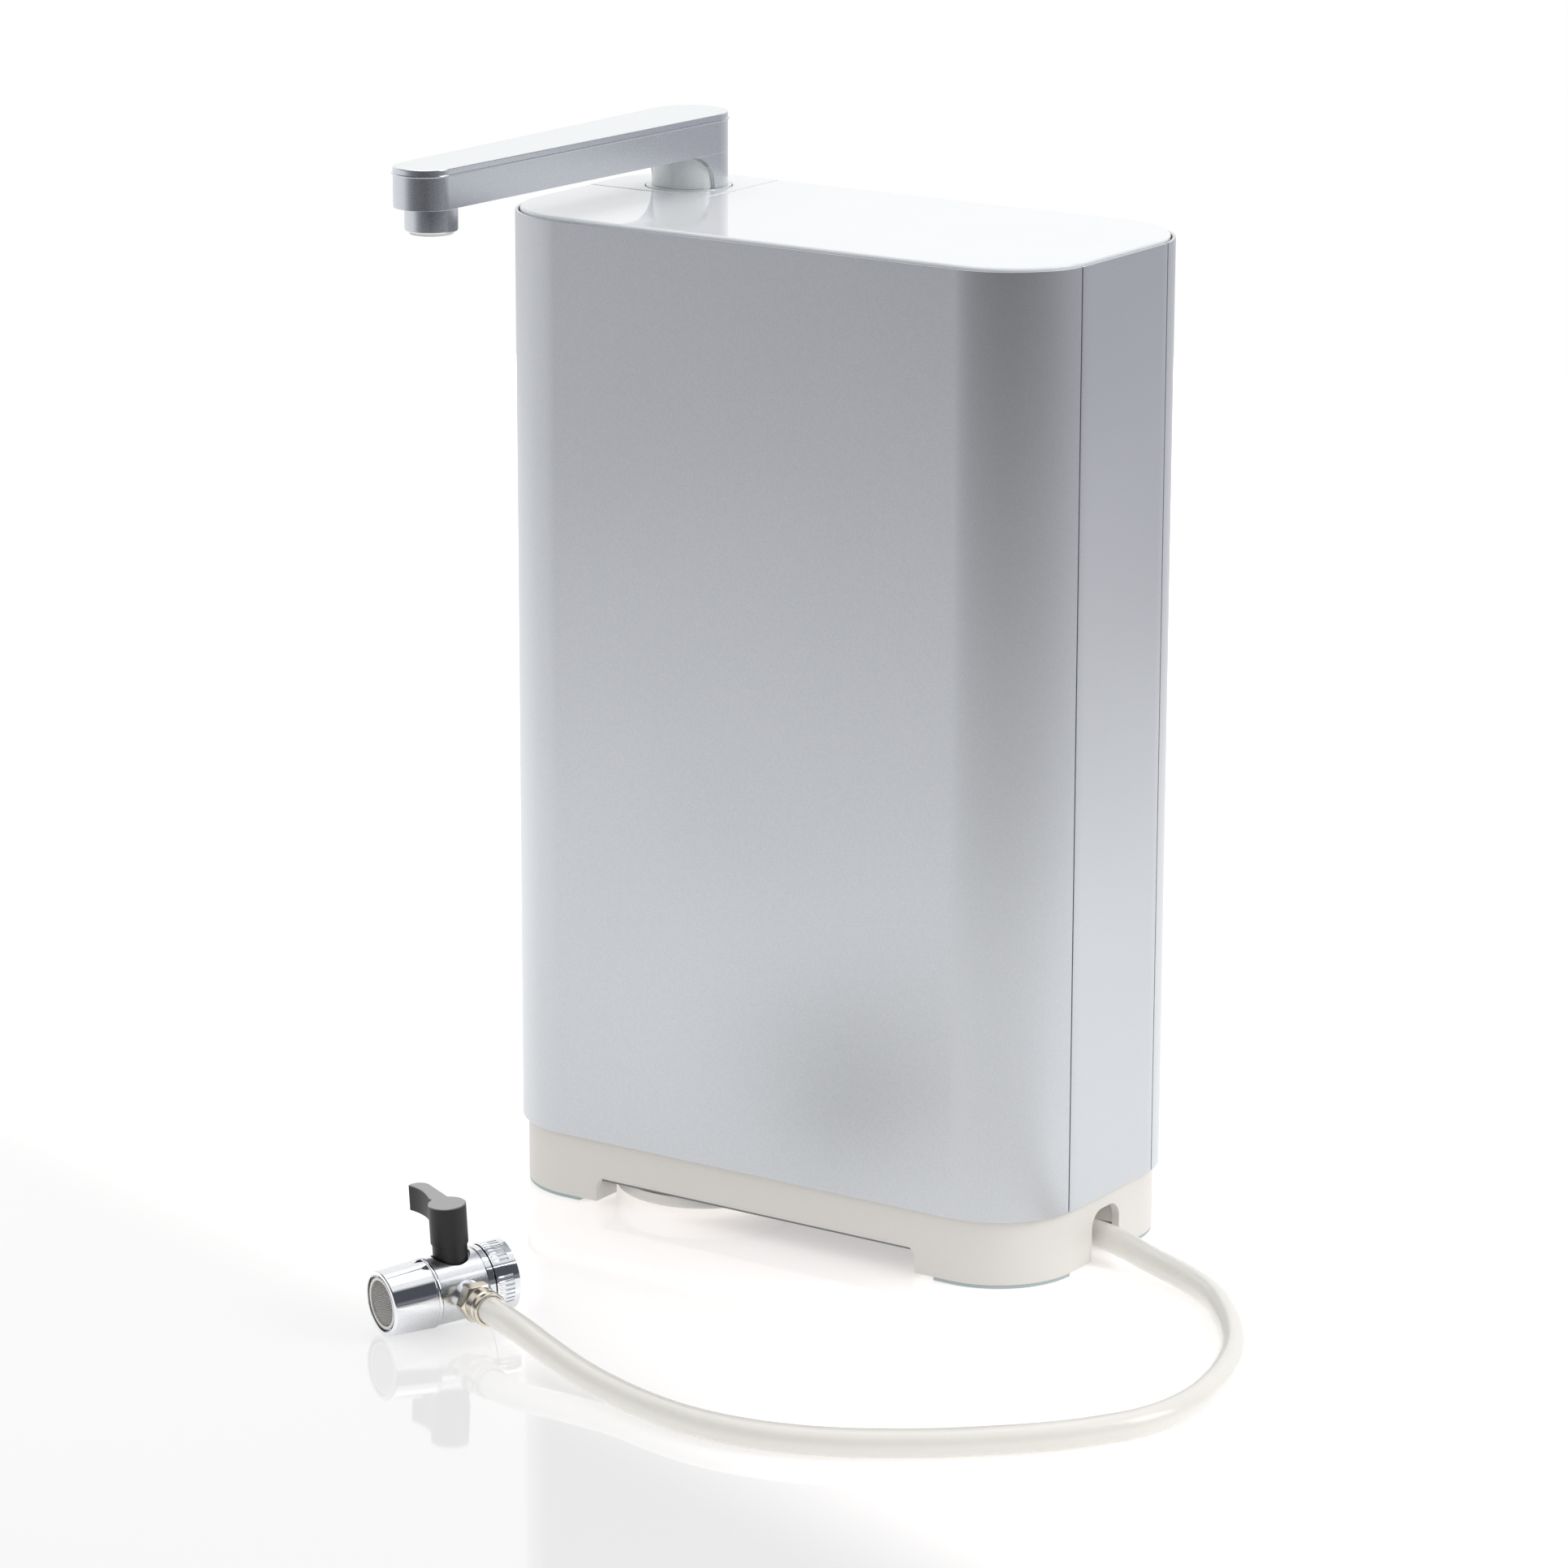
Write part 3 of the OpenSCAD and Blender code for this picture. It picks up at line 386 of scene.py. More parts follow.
def white_glass():
    glass = Finish("white_glass", {"IOR": 1.5, "Specular IOR Level": 0.4})
    height = glass.node("SeparateXYZ", {}, {"Vector": glass.place}, output=2)
    cut_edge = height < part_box("top_glass")[1].z - CUT_BELOW
    mottle = glass.grain(30, 2)
    face = glass.mix(mottle, rgb(238, 240, 243), rgb(243, 244, 247))
    glass.set("Base Color", glass.mix(cut_edge, face, rgb(236, 241, 246)))
    glass.set("Roughness", mottle * 0.02 + 0.03)
    return glass.material


LEVER_POLISH_AND_PAINTED_SHEEN_FROM = 31.1 * MM


def lever_black():
    """Black plastic with fine texture on its sides, and a polished top painted lighter grey as a painted
    sheen.
    """
    black = Finish("black_plastic", {"Coat Roughness": 0.06, "Coat IOR": 1.9})
    top = 1 - (along_joint(black, "lever_turn") < LEVER_POLISH_AND_PAINTED_SHEEN_FROM)
    spark = black.grain(1800, 3)
    sides = black.mix(spark, rgb(12, 12, 14), rgb(22, 22, 24))
    # The top's lighter grey is a painted sheen.
    black.set("Base Color", black.mix(top, sides, rgb(98, 98, 100)))
    black.set("Roughness", 0.42 + spark * 0.12 - top * 0.3)
    black.set("Coat Weight", top)
    black.bump(spark, 0.00002)
    return black.material


FINISHES["white_glass"] = white_glass()
FINISHES["black_plastic"] = lever_black()
for slot, *look in (
    ("base_plastic", rgb(232, 228, 222), rgb(242, 238, 233), 0.36),
    ("grey_plastic", rgb(120, 123, 127), rgb(140, 143, 147), 0.45),
    ("rubber_pad", rgb(172, 186, 188), rgb(196, 208, 209), 0.4, 900),
    ("black_rubber", rgb(20, 20, 21), rgb(34, 34, 35), 0.6, 900),
    ("tube_plastic", rgb(196, 208, 220), rgb(214, 224, 233), 0.2, 500, 0.00001, 0.3),
    ("filter_white", rgb(226, 226, 224), rgb(238, 238, 236), 0.4),
    ("hose_ivory", rgb(240, 237, 230), rgb(246, 243, 238), 0.24, 420, 0.00001, 0.6),
):
    FINISHES[slot] = moulded(slot, *look)
milky = FINISHES["hose_ivory"].node_tree.nodes["Principled BSDF"].inputs
milky["Subsurface Weight"].default_value = 0.5
milky["Subsurface Radius"].default_value = (0.004, 0.004, 0.0036)
milky["Subsurface Scale"].default_value = 1
print("finishes:", len(FINISHES))

# %% [markdown]
# ## Rounded copies
# A part from a mould, a press or a lathe has no knife edges: a small radius on each edge catches a
# line of light. Each part could be drawn again, but the frame's shapes are right, so a copy of the
# mesh is merged, its flat faces are joined, and its sharp edges are bevelled. Two parts of the
# spout are drawn down a little as well.

# %% Rounded copies
SHARP, FLAT = math.radians(28), math.radians(0.3)
TINY = 1e-6
EVERYWHERE = -1
SLOT_OF_NODE = {row["node"]: row["material_slot"] for row in frame["record"]["subparts"]}
BODIES = frame["record"]["behaviour"]["bodies"]
BODY_OF_NODE = {node: body for body, members in BODIES.items() for node in members}


def bevel(bm, edges, radius, steps=2):
    """Rounds some edges of a mesh."""
    bmesh.ops.bevel(bm, geom=edges, offset=radius, offset_type="OFFSET", segments=steps, profile=0.5,
                    affect="EDGES", material=-1, clamp_overlap=True)


def round_edges(bm, radius, steps=2, sharp=SHARP, above=EVERYWHERE):
    """Rounds every edge that is sharper than an angle and reaches above a height."""
    edges = [e for e in bm.edges if len(e.link_faces) == 2 and e.calc_face_angle(0) > sharp]
    bevel(bm, [e for e in edges if max(v.co.z for v in e.verts) > above], radius, steps)


def finish_piece(bm, node):
    """Makes an object of a bmesh that stands for a node: its finish, its body and its slot."""
    mesh = bpy.data.meshes.new(node + "_piece")
    bm.to_mesh(mesh)
    bm.free()
    mesh.shade_smooth()
    mesh.set_sharp_from_angle(angle=SHARP)
    mesh.materials.append(FINISHES[SLOT_OF_NODE[node]])
    piece = bpy.data.objects.new(node + "_piece", mesh)
    bpy.context.scene.collection.objects.link(piece)
    even = piece.modifiers.new("even_shading", "WEIGHTED_NORMAL")
    even.keep_sharp = True
    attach(piece, BODY_OF_NODE[node])
    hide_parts(node)
    print(piece.name, len(mesh.polygons), "faces, box", [round(s / MM, 2) for s in piece.dimensions])
    return piece


def merged_copy(node):
    """A copy of a node's mesh with its corners merged and its flat faces joined."""
    bm = bmesh.new()
    bm.from_mesh(frame["nodes"][node].data)
    bmesh.ops.remove_doubles(bm, verts=bm.verts, dist=TINY)
    bmesh.ops.dissolve_limit(bm, angle_limit=FLAT, verts=bm.verts, edges=bm.edges)
    return bm


EDGE_RADII = {
    "spout_column": 0.15, "spout_bush": 0.3, "nozzle": 0.7, "nozzle_insert": 0.3,
    "base_tray": 0.5, "bottom_plate": 0.2, "valve_body": 0.25, "swivel_nut": 0.15,
    "valve_lever": 0.35, "second_cartridge": 0.8, "third_cartridge": 0.8, "filter_housing": 0.8,
    "manifold": 0.8, "chassis": 0.4, "top_frame": 0.4, "inlet_connector": 0.4, "inlet_nut": 0.4,
    "inlet_collet": 0.3, "spout_socket": 0.4,
}
# In mm. The neck of the spout all but touches its collar, and the insert shows under the nozzle.
NECK_DROP = 0.35
DRAWN_DOWN = {"spout_column": NECK_DROP, "nozzle_insert": 1.5}
FOOT_LAYER = 0.01 * MM
for node, radius in EDGE_RADII.items():
    bm = merged_copy(node)
    above = EVERYWHERE
    if node in DRAWN_DOWN:
        above = min(v.co.z for v in bm.verts) + FOOT_LAYER
        foot = [v for v in bm.verts if v.co.z < above]
        bmesh.ops.translate(bm, vec=(0, 0, -DRAWN_DOWN[node] * MM), verts=foot)
    round_edges(bm, radius * MM, above=above)
    finish_piece(bm, node)

# %% [markdown]
# ## Case
# The covers and side panels are bent sheet metal. Their large round corners show in the
# reflections, so they are made again with fine arcs: one rectangle whose corners are bevelled
# gives the outline of them all, and a wall is drawn up from its edge and given its thickness.

# %% Case outline
front_low, front_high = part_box("front_cover")
rear_low, rear_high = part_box("rear_cover")
CASE_MIDDLE = Vector((0, (front_low.y + rear_high.y) / 2, 0))
CASE_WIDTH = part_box("side_panel_right")[1].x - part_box("side_panel_left")[0].x
CASE_SIZE = Vector((CASE_WIDTH, rear_high.y - front_low.y, 0))
CASE_CORNER = 34 * MM
CORNER_STEPS = 32
SHEET = 1.2 * MM
SHEET_EDGE = 0.25 * MM


def case_outline(inset, height):
    """A flat face in the outline of the case, drawn in by an inset."""
    bm = bmesh.new()
    bmesh.ops.create_grid(bm, x_segments=1, y_segments=1, size=0.5)
    bmesh.ops.scale(bm, vec=CASE_SIZE - Vector((2 * inset, 2 * inset, -1)), verts=bm.verts)
    bmesh.ops.translate(bm, vec=CASE_MIDDLE + Vector((0, 0, height)), verts=bm.verts)
    bmesh.ops.bevel(bm, geom=bm.verts[:], offset=CASE_CORNER - inset, offset_type="OFFSET",
                    segments=CORNER_STEPS, profile=0.5, affect="VERTICES", material=-1)
    return bm


def cut(bm, place, normal, drop_outer=False):
    """Cuts the mesh at a plane, and may drop what lies along the plane's normal."""
    bmesh.ops.bisect_plane(bm, geom=bm.verts[:] + bm.edges[:] + bm.faces[:], plane_co=place,
                           plane_no=normal, clear_outer=drop_outer)


def verts_in(geom):
    """The points among what an operation made."""
    return [item for item in geom if isinstance(item, bmesh.types.BMVert)]


def edges_in(geom):
    """The edges among what an operation made."""
    return [item for item in geom if isinstance(item, bmesh.types.BMEdge)]


def thicken(bm, faces, height):
    """Draws flat faces up into a solid plate."""
    risen = bmesh.ops.extrude_face_region(bm, geom=faces)["geom"]
    bmesh.ops.translate(bm, vec=(0, 0, height), verts=verts_in(risen))
    bmesh.ops.recalc_face_normals(bm, faces=bm.faces)


def sheet_wall(low_y, high_y, side=0):
    """Sheet metal that follows the outline between two planes across the case."""
    bm = case_outline(0, front_low.z)
    cut(bm, (0, low_y, 0), (0, -1, 0), drop_outer=True)
    cut(bm, (0, high_y, 0), (0, 1, 0), drop_outer=True)
    if side:
        cut(bm, (0, 0, 0), (-side, 0, 0), drop_outer=True)
    bmesh.ops.delete(bm, geom=bm.faces[:], context="FACES_ONLY")

    def on_cut(vert):
        near_low = abs(vert.co.y - low_y) < TINY
        near_high = abs(vert.co.y - high_y) < TINY
        return near_low or near_high or (side and abs(vert.co.x) < TINY)

    cut_edges = [e for e in bm.edges if all(on_cut(v) for v in e.verts)]
    bmesh.ops.delete(bm, geom=cut_edges, context="EDGES")
    risen = bmesh.ops.extrude_edge_only(bm, edges=bm.edges[:])["geom"]
    bmesh.ops.translate(bm, vec=(0, 0, front_high.z - front_low.z), verts=verts_in(risen))
    bmesh.ops.recalc_face_normals(bm, faces=bm.faces)
    if sum(f.normal.dot(f.calc_center_median() - CASE_MIDDLE) for f in bm.faces) < 0:
        bmesh.ops.reverse_faces(bm, faces=bm.faces[:])
    bmesh.ops.solidify(bm, geom=bm.faces[:], thickness=SHEET)
    round_edges(bm, SHEET_EDGE)
    return bm


def join(bm, other):
    """Adds another bmesh to a bmesh."""
    mesh = bpy.data.meshes.new("joined")
    other.to_mesh(mesh)
    other.free()
    bm.from_mesh(mesh)
    bpy.data.meshes.remove(mesh)


print("case outline", [round(s / MM, 1) for s in CASE_SIZE], "mm")

# %% [markdown]
# ## Covers and side panels
# The front and rear covers have a narrow flange folded in at the foot, which stiffens the sheet.
# Behind the front cover stand four tubes that slide over the pins of the chassis. A spun profile
# makes each tube, as a lathe would.

# %% Turned shapes
FLANGE, FLANGE_LIFT = 4.5 * MM, 0.3 * MM
TUBE_BORE, TUBE_R, TUBE_LENGTH = 3.05, 5.5, 9.6


def turned(profile, steps=96):
    """Spins a closed profile of (station, radius) pairs, in mm, about the X axis."""
    bm = bmesh.new()
    points = [bm.verts.new((station * MM, 0, radius * MM)) for station, radius in profile]
    for first, second in zip(points, points[1:] + points[:1]):
        bm.edges.new((first, second))
    bmesh.ops.spin(bm, geom=bm.verts[:] + bm.edges[:], cent=(0, 0, 0), axis=(1, 0, 0), angle=math.tau,
                   steps=steps, use_merge=True)
    bmesh.ops.remove_doubles(bm, verts=bm.verts, dist=TINY)
    bmesh.ops.recalc_face_normals(bm, faces=bm.faces)
    return bm


def tube(start, end, inner, outer):
    """The profile of a plain tube or, with no inner radius, of a disc."""
    return [(start, inner), (start, outer), (end, outer), (end, inner)]


def pointing(axis, place):
    """The turn and shift that take the X axis to another axis through a place, in mm."""
    turn = Vector(axis).to_track_quat("X", "Z").to_matrix().to_4x4()
    return Matrix.Translation(Vector(place) * MM) @ turn


def flange(low_y, high_y):
    """The edge of the covers that is folded in at the foot."""
    bm = case_outline(SHEET / 2, front_low.z + FLANGE_LIFT)
    bmesh.ops.inset_region(bm, faces=bm.faces[:], thickness=SHEET / 2 + FLANGE)
    inner = max(bm.faces, key=lambda f: f.calc_area())
    bmesh.ops.delete(bm, geom=[inner], context="FACES")
    cut(bm, (0, low_y, 0), (0, -1, 0), drop_outer=True)
    cut(bm, (0, high_y, 0), (0, 1, 0), drop_outer=True)
    thicken(bm, bm.faces[:], SHEET)
    return bm


def cover_tube(x, z):
    """One of the tubes behind the front cover."""
    bm = turned(tube(0, TUBE_LENGTH, TUBE_BORE, TUBE_R), steps=48)
    round_edges(bm, 0.4 * MM)
    bm.transform(pointing((0, 1, 0), (x, (front_low.y + SHEET / 2) / MM, z)))
    return bm


print("tubes:", TUBE_LENGTH, "mm long,", 2 * TUBE_R, "mm wide")

# %% Covers and side panels
PIN_X, PIN_LOW, PIN_HIGH = 86, 40, 338
BEYOND = 1
front_cover = sheet_wall(front_low.y - BEYOND, front_high.y)
join(front_cover, flange(front_low.y - BEYOND, front_high.y))
for pin_x in (-PIN_X, PIN_X):
    for pin_z in (PIN_LOW, PIN_HIGH):
        join(front_cover, cover_tube(pin_x, pin_z))
finish_piece(front_cover, "front_cover")
rear_cover = sheet_wall(rear_low.y, rear_high.y + BEYOND)
join(rear_cover, flange(rear_low.y, rear_high.y + BEYOND))
finish_piece(rear_cover, "rear_cover")
for node, side in (("side_panel_left", -1), ("side_panel_right", 1)):
    low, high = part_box(node)
    finish_piece(sheet_wall(low.y, high.y, side), node)

# %% [markdown]
# ## Foot pads
# A soft pad sticks under each foot and follows its round corner, so it shows as a thin grey line
# between the base and the counter. Each is the outline of the case cut back to one corner, drawn
# up to the pad's thickness and rounded, because soft pads are cut with a blunt edge.

# %% Foot pads
PAD_INSET = 2.35 * MM
PAD_FROM = Vector((79, 24.5, 0)) * MM


def foot_pad(side_x, side_y):
    """The pad in one corner of the base."""
    bm = case_outline(PAD_INSET, 0)
    cut(bm, (side_x * PAD_FROM.x, 0, 0), (-side_x, 0, 0), drop_outer=True)
    cut(bm, CASE_MIDDLE + Vector((0, side_y * PAD_FROM.y, 0)), (0, -side_y, 0), drop_outer=True)
    thicken(bm, bm.faces[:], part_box("foot_pads")[1].z)
    round_edges(bm, 0.4 * MM, steps=3)
    return bm


foot_pads = foot_pad(-1, -1)
for corner in ((-1, 1), (1, -1), (1, 1)):
    join(foot_pads, foot_pad(*corner))
finish_piece(foot_pads, "foot_pads")

# %% [markdown]
# ## Glass top
# The top is one pane with a corner cut out, and a small tile with a hole for the spout fills that
# corner. Both come from the outline of the case, so their arcs run parallel to the metal. Both have
# ground edges, which a bevel of the top edge gives.

# %% Glass top
GLASS_INSET = 1.8 * MM
glass_low, glass_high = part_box("top_glass")
tile_low, tile_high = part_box("spout_tile")
SEAM = 0.5 * MM
TILE_HOLE = 16.3 * MM
SPOUT_AXIS = Vector(joints["spout_swivel"]["pos_m"])


def ground_edges(bm, radius):
    """Rounds the upper edges of a plate."""
    sharp = [e for e in bm.edges if len(e.link_faces) == 2 and e.calc_face_angle(0) > SHARP]
    top = max(v.co.z for v in bm.verts)
    upper = [e for e in sharp if all(abs(v.co.z - top) < TINY for v in e.verts)]
    bevel(bm, upper, radius, steps=4)


def in_tile_corner(face):
    middle = face.calc_center_median()
    return middle.x < tile_high.x + SEAM / 2 and middle.y > tile_low.y - SEAM / 2


pane = case_outline(GLASS_INSET, glass_low.z)
cut(pane, (tile_high.x + SEAM, 0, 0), (1, 0, 0))
cut(pane, (0, tile_low.y - SEAM, 0), (0, 1, 0))
bmesh.ops.delete(pane, geom=[f for f in pane.faces if in_tile_corner(f)], context="FACES")
thicken(pane, pane.faces[:], glass_high.z - glass_low.z)
bmesh.ops.dissolve_limit(pane, angle_limit=FLAT, verts=pane.verts, edges=pane.edges)
ground_edges(pane, 1.1 * MM)
finish_piece(pane, "top_glass")

tile = case_outline(GLASS_INSET, glass_low.z)
cut(tile, (tile_high.x, 0, 0), (1, 0, 0), drop_outer=True)
cut(tile, (0, tile_low.y, 0), (0, -1, 0), drop_outer=True)
bmesh.ops.delete(tile, geom=tile.faces[:], context="FACES_ONLY")
bmesh.ops.create_circle(tile, radius=TILE_HOLE, segments=96,
                        matrix=Matrix.Translation((SPOUT_AXIS.x, SPOUT_AXIS.y, glass_low.z)))
bmesh.ops.triangle_fill(tile, use_beauty=True, edges=tile.edges[:])
thicken(tile, tile.faces[:], glass_high.z - glass_low.z)
bmesh.ops.dissolve_limit(tile, angle_limit=FLAT, verts=tile.verts, edges=tile.edges)
ground_edges(tile, 0.35 * MM)
finish_piece(tile, "spout_tile")

# %% [markdown]
# ## Spout cap
# A long cap closes the arm of the spout, which grows narrower towards its tip. The lip of the cap
# stands a little proud of the arm all round, and shows as a thin bright line. Two points, each
# spun about an end of the arm, draw the outline, and it is drawn up once for the cap and once
# for the lip.

# %% Spout cap
cap_low, cap_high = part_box("spout_cap")
nozzle_middle = sum(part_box("nozzle"), Vector()) / 2
TO_NOZZLE = (nozzle_middle - SPOUT_AXIS).to_2d()
SPOUT_TURN = math.atan2(TO_NOZZLE.x, -TO_NOZZLE.y)
SPOUT = Matrix.Translation(SPOUT_AXIS) @ Matrix.Rotation(SPOUT_TURN, 4, "Z")
NECK_R, TIP_R = 14.6 * MM, 11.3 * MM
PAST_NOZZLE = 3.3 * MM
TIP_REACH = TO_NOZZLE.length + PAST_NOZZLE
TAPER = math.asin((NECK_R - TIP_R) / TIP_REACH)
LIP, LIP_HEIGHT = 0.5 * MM, 0.6 * MM
ARC_STEPS = 64


def arm_plate(grow, bottom, height):
    """A plate in the outline of the arm, which may stand out from it all round."""
    bm = bmesh.new()
    neck_end = (NECK_R + grow, 0, -TAPER, math.pi + 2 * TAPER)
    tip_end = (TIP_R + grow, -TIP_REACH, math.pi + TAPER, math.pi - 2 * TAPER)
    for radius, middle, start, sweep in (neck_end, tip_end):
        first = bm.verts.new((radius * math.cos(start), middle + radius * math.sin(start), 0))
        bmesh.ops.spin(bm, geom=[first], cent=(0, middle, 0), axis=(0, 0, 1), angle=sweep,
                       steps=ARC_STEPS)
    loose = [v for v in bm.verts if len(v.link_edges) == 1]
    for left in (True, False):
        bm.edges.new([v for v in loose if (v.co.x < 0) == left])
    bmesh.ops.edgeloop_fill(bm, edges=bm.edges[:])
    thicken(bm, bm.faces[:], height)
    bm.transform(SPOUT @ Matrix.Translation((0, 0, bottom - SPOUT_AXIS.z)))
    return bm


spout_cap = arm_plate(0, cap_low.z, cap_high.z - cap_low.z)
ground_edges(spout_cap, 0.5 * MM)
lip = arm_plate(LIP, cap_low.z, LIP_HEIGHT)
round_edges(lip, 0.15 * MM)
join(spout_cap, lip)
finish_piece(spout_cap, "spout_cap")

# %% [markdown]
# ## Spout arm
# Behind the neck the arm reaches down to the collar, and in front it ends in an arch. The lower
# edge of its outer wall, arch included, is rounded and catches a line of light. The other edges
# are hidden, and rounding them too would leave too little of the thin wall at the arch.

# %% Spout arm
UPRIGHT, FACING_UP = 0.05, 0.5
arm = merged_copy("spout_arm")
arm.transform(SPOUT.inverted())
arm_foot = min(v.co.z for v in arm.verts) + FOOT_LAYER


def on_outer_wall(face):
    """Whether an upright face looks away from the middle line of the arm."""
    middle = face.calc_center_median()
    nearest = Vector((0, min(0, max(-TIP_REACH, middle.y)), middle.z))
    return abs(face.normal.z) < UPRIGHT and face.normal.dot(middle - nearest) > TINY


def on_lower_rim(edge):
    """Whether an edge parts the outer wall from what lies under the arm or in the arch."""
    if len(edge.link_faces) != 2 or max(v.co.z for v in edge.verts) < arm_foot:
        return False
    walls = [f for f in edge.link_faces if on_outer_wall(f)]
    others = [f for f in edge.link_faces if f not in walls]
    return len(walls) == 1 and others[0].normal.z < FACING_UP


arm_rim = [e for e in arm.edges if on_lower_rim(e)]
print("lower rim of the arm:", len(arm_rim), "edges")
foot = [v for v in arm.verts if v.co.z < arm_foot]
bmesh.ops.translate(arm, vec=(0, 0, -NECK_DROP * MM), verts=foot)
bevel(arm, arm_rim, 0.6 * MM, steps=3)
arm.transform(SPOUT)
finish_piece(arm, "spout_arm")

# %% [markdown]
# ## Aerator
# The aerator at the end of the valve is a chrome shell that tapers to its tip. Behind its rounded
# rim lies a dark gap, then a grey ring, and inside that a woven wire screen. The shell and the
# ring are turned. The screen is a fine grid that is trimmed to a disc and turned into wires.

# %% Valve frame
valve_along = Vector(joints["tap_nut_spin"]["axis"])
valve_up = Vector(joints["lever_turn"]["axis"])
valve_across = valve_up.cross(valve_along)
VALVE = Matrix((valve_along, valve_across, valve_up)).transposed().to_4x4()
VALVE.translation = Vector(joints["lever_turn"]["pos_m"])
print("valve: lever axis at", [round(v / MM, 1) for v in VALVE.translation], "mm")

# %% Aerator shell
TIP, SEAT = -28.5, -9.9
RIM_BEYOND = 11.5
shell = turned([
    (SEAT, 10.1), (SEAT, 12.3), (SEAT - 0.3, 12.8), (SEAT - 1.2, 12.8), (SEAT - 1.35, 12.5),
    (SEAT - 1.6, 12.5), (SEAT - 1.75, 12.7), (TIP, 11.9), (TIP, 10.4), (TIP + 2.2, 10.2),
    (TIP + 2.2, 7.5), (TIP + 6.4, 7.5), (TIP + 6.4, 10.1),
], steps=128)


def on_tip_rim(vert):
    return abs(vert.co.x - TIP * MM) < TINY and vert.co.yz.length > RIM_BEYOND * MM


bevel(shell, [e for e in shell.edges if all(on_tip_rim(v) for v in e.verts)], 0.7 * MM, steps=5)
round_edges(shell, 0.12 * MM)
shell.transform(VALVE)
finish_piece(shell, "aerator_shell")

# %% Woven screen
SCREEN_R, SCREEN_AT = 8.4, TIP + 1.0
WIRES, WIRE = 26, 0.2
BULGE, SINK = 0.5, 0.1
WEAVE_TURN = math.radians(24)
screen = bmesh.new()
bmesh.ops.create_grid(screen, x_segments=WIRES, y_segments=WIRES, size=SCREEN_R * MM)
outside = [f for f in screen.faces if f.calc_center_median().length > (SCREEN_R - 0.3) * MM]
bmesh.ops.delete(screen, geom=outside, context="FACES")
for vert in screen.verts:
    bulge = BULGE * (1 - (vert.co.length / (SCREEN_R * MM)) ** 2)
    vert.co.z = (bulge - SINK) * MM
bmesh.ops.wireframe(screen, faces=screen.faces[:], thickness=WIRE * MM, use_replace=True,
                    use_even_offset=True, use_boundary=True)
screen.transform(Matrix.Rotation(WEAVE_TURN, 4, "Z"))
face_on = Matrix.Translation((SCREEN_AT * MM, 0, 0)) @ Matrix.Rotation(-math.pi / 2, 4, "Y")
screen.transform(VALVE @ face_on)
# This disc takes the dark part of the wire finish: painted shade inside the bore.
shade_backing = turned(tube(SCREEN_AT + 0.7, SCREEN_AT + 1.2, 0, SCREEN_R))
ring = turned(tube(TIP + 0.3, TIP + 2, 8.3, 9.5))
round_edges(ring, 0.25 * MM, steps=3)
join(shade_backing, ring)
shade_backing.transform(VALVE)
join(screen, shade_backing)
finish_piece(screen, "aerator_screen")

# %% [markdown]
# ## Compression nut and sleeve
# A hexagon nut with a round skirt squeezes the hose onto the port of the valve. The corners are
# turned off at both ends of the hexagon, which leaves curved edges on its flats. Each side is
# divided finely, and the points that stand out furthest move back the most, as a lathe's cone does.

# %% Compression nut
NUT_START, NUT_LENGTH, HEX_LENGTH = 16.4, 10.6, 5.2
NUT_FLAT, NUT_FACE_R, NUT_BORE = 6.45, 6.2, 5.05
SKIRT_R = 6.3
CONE = math.tan(math.radians(32))
PORT = VALVE @ pointing((0, -1, 0), (0, 0, 0))


def draw_to_ring(nut, edges, station, radius):
    """Draws a loop of edges to a circle about the X axis, in mm."""
    drawn = bmesh.ops.extrude_edge_only(nut, edges=edges)["geom"]
    for vert in verts_in(drawn):
        vert.co = Vector((station * MM, *(vert.co.yz.normalized() * radius * MM)))
    return edges_in(drawn)


def nut_end(nut, edges, station, outward):
    """Moves one end of the hexagon back where it stands out, and closes it with a ring."""
    for vert in {v for e in edges for v in e.verts}:
        stand_out = vert.co.yz.length - NUT_FACE_R * MM
        vert.co.x = station * MM - outward * stand_out * CONE
    face_rim = draw_to_ring(nut, edges, station, NUT_FACE_R)
    return draw_to_ring(nut, face_rim, station, NUT_BORE)


hex_nut = bmesh.new()
bmesh.ops.create_circle(hex_nut, radius=NUT_FLAT * MM / math.cos(math.pi / 6), segments=6)
bmesh.ops.subdivide_edges(hex_nut, edges=hex_nut.edges[:], cuts=11)
hex_nut.transform(pointing((0, 0, 1), (0, 0, 0)).inverted())
hex_nut.transform(Matrix.Translation((NUT_START * MM, 0, 0)))
near = hex_nut.edges[:]
far = bmesh.ops.extrude_edge_only(hex_nut, edges=near)["geom"]
bmesh.ops.translate(hex_nut, vec=(HEX_LENGTH * MM, 0, 0), verts=verts_in(far))
near_hole = nut_end(hex_nut, near, NUT_START, -1)
far_hole = nut_end(hex_nut, edges_in(far), NUT_START + HEX_LENGTH, 1)
bmesh.ops.bridge_loops(hex_nut, edges=near_hole + far_hole)
bmesh.ops.recalc_face_normals(hex_nut, faces=hex_nut.faces)
round_edges(hex_nut, 0.12 * MM)
skirt_start, skirt_end = NUT_START + HEX_LENGTH - 0.5, NUT_START + NUT_LENGTH
skirt = turned([(skirt_start, NUT_BORE), (skirt_start, SKIRT_R - 0.4), (skirt_start + 1.2, SKIRT_R),
                (skirt_end - 1, SKIRT_R), (skirt_end, SKIRT_R - 0.5), (skirt_end, NUT_BORE)])
round_edges(skirt, 0.15 * MM, sharp=math.radians(15))
join(hex_nut, skirt)
hex_nut.transform(PORT)
finish_piece(hex_nut, "compression_nut")

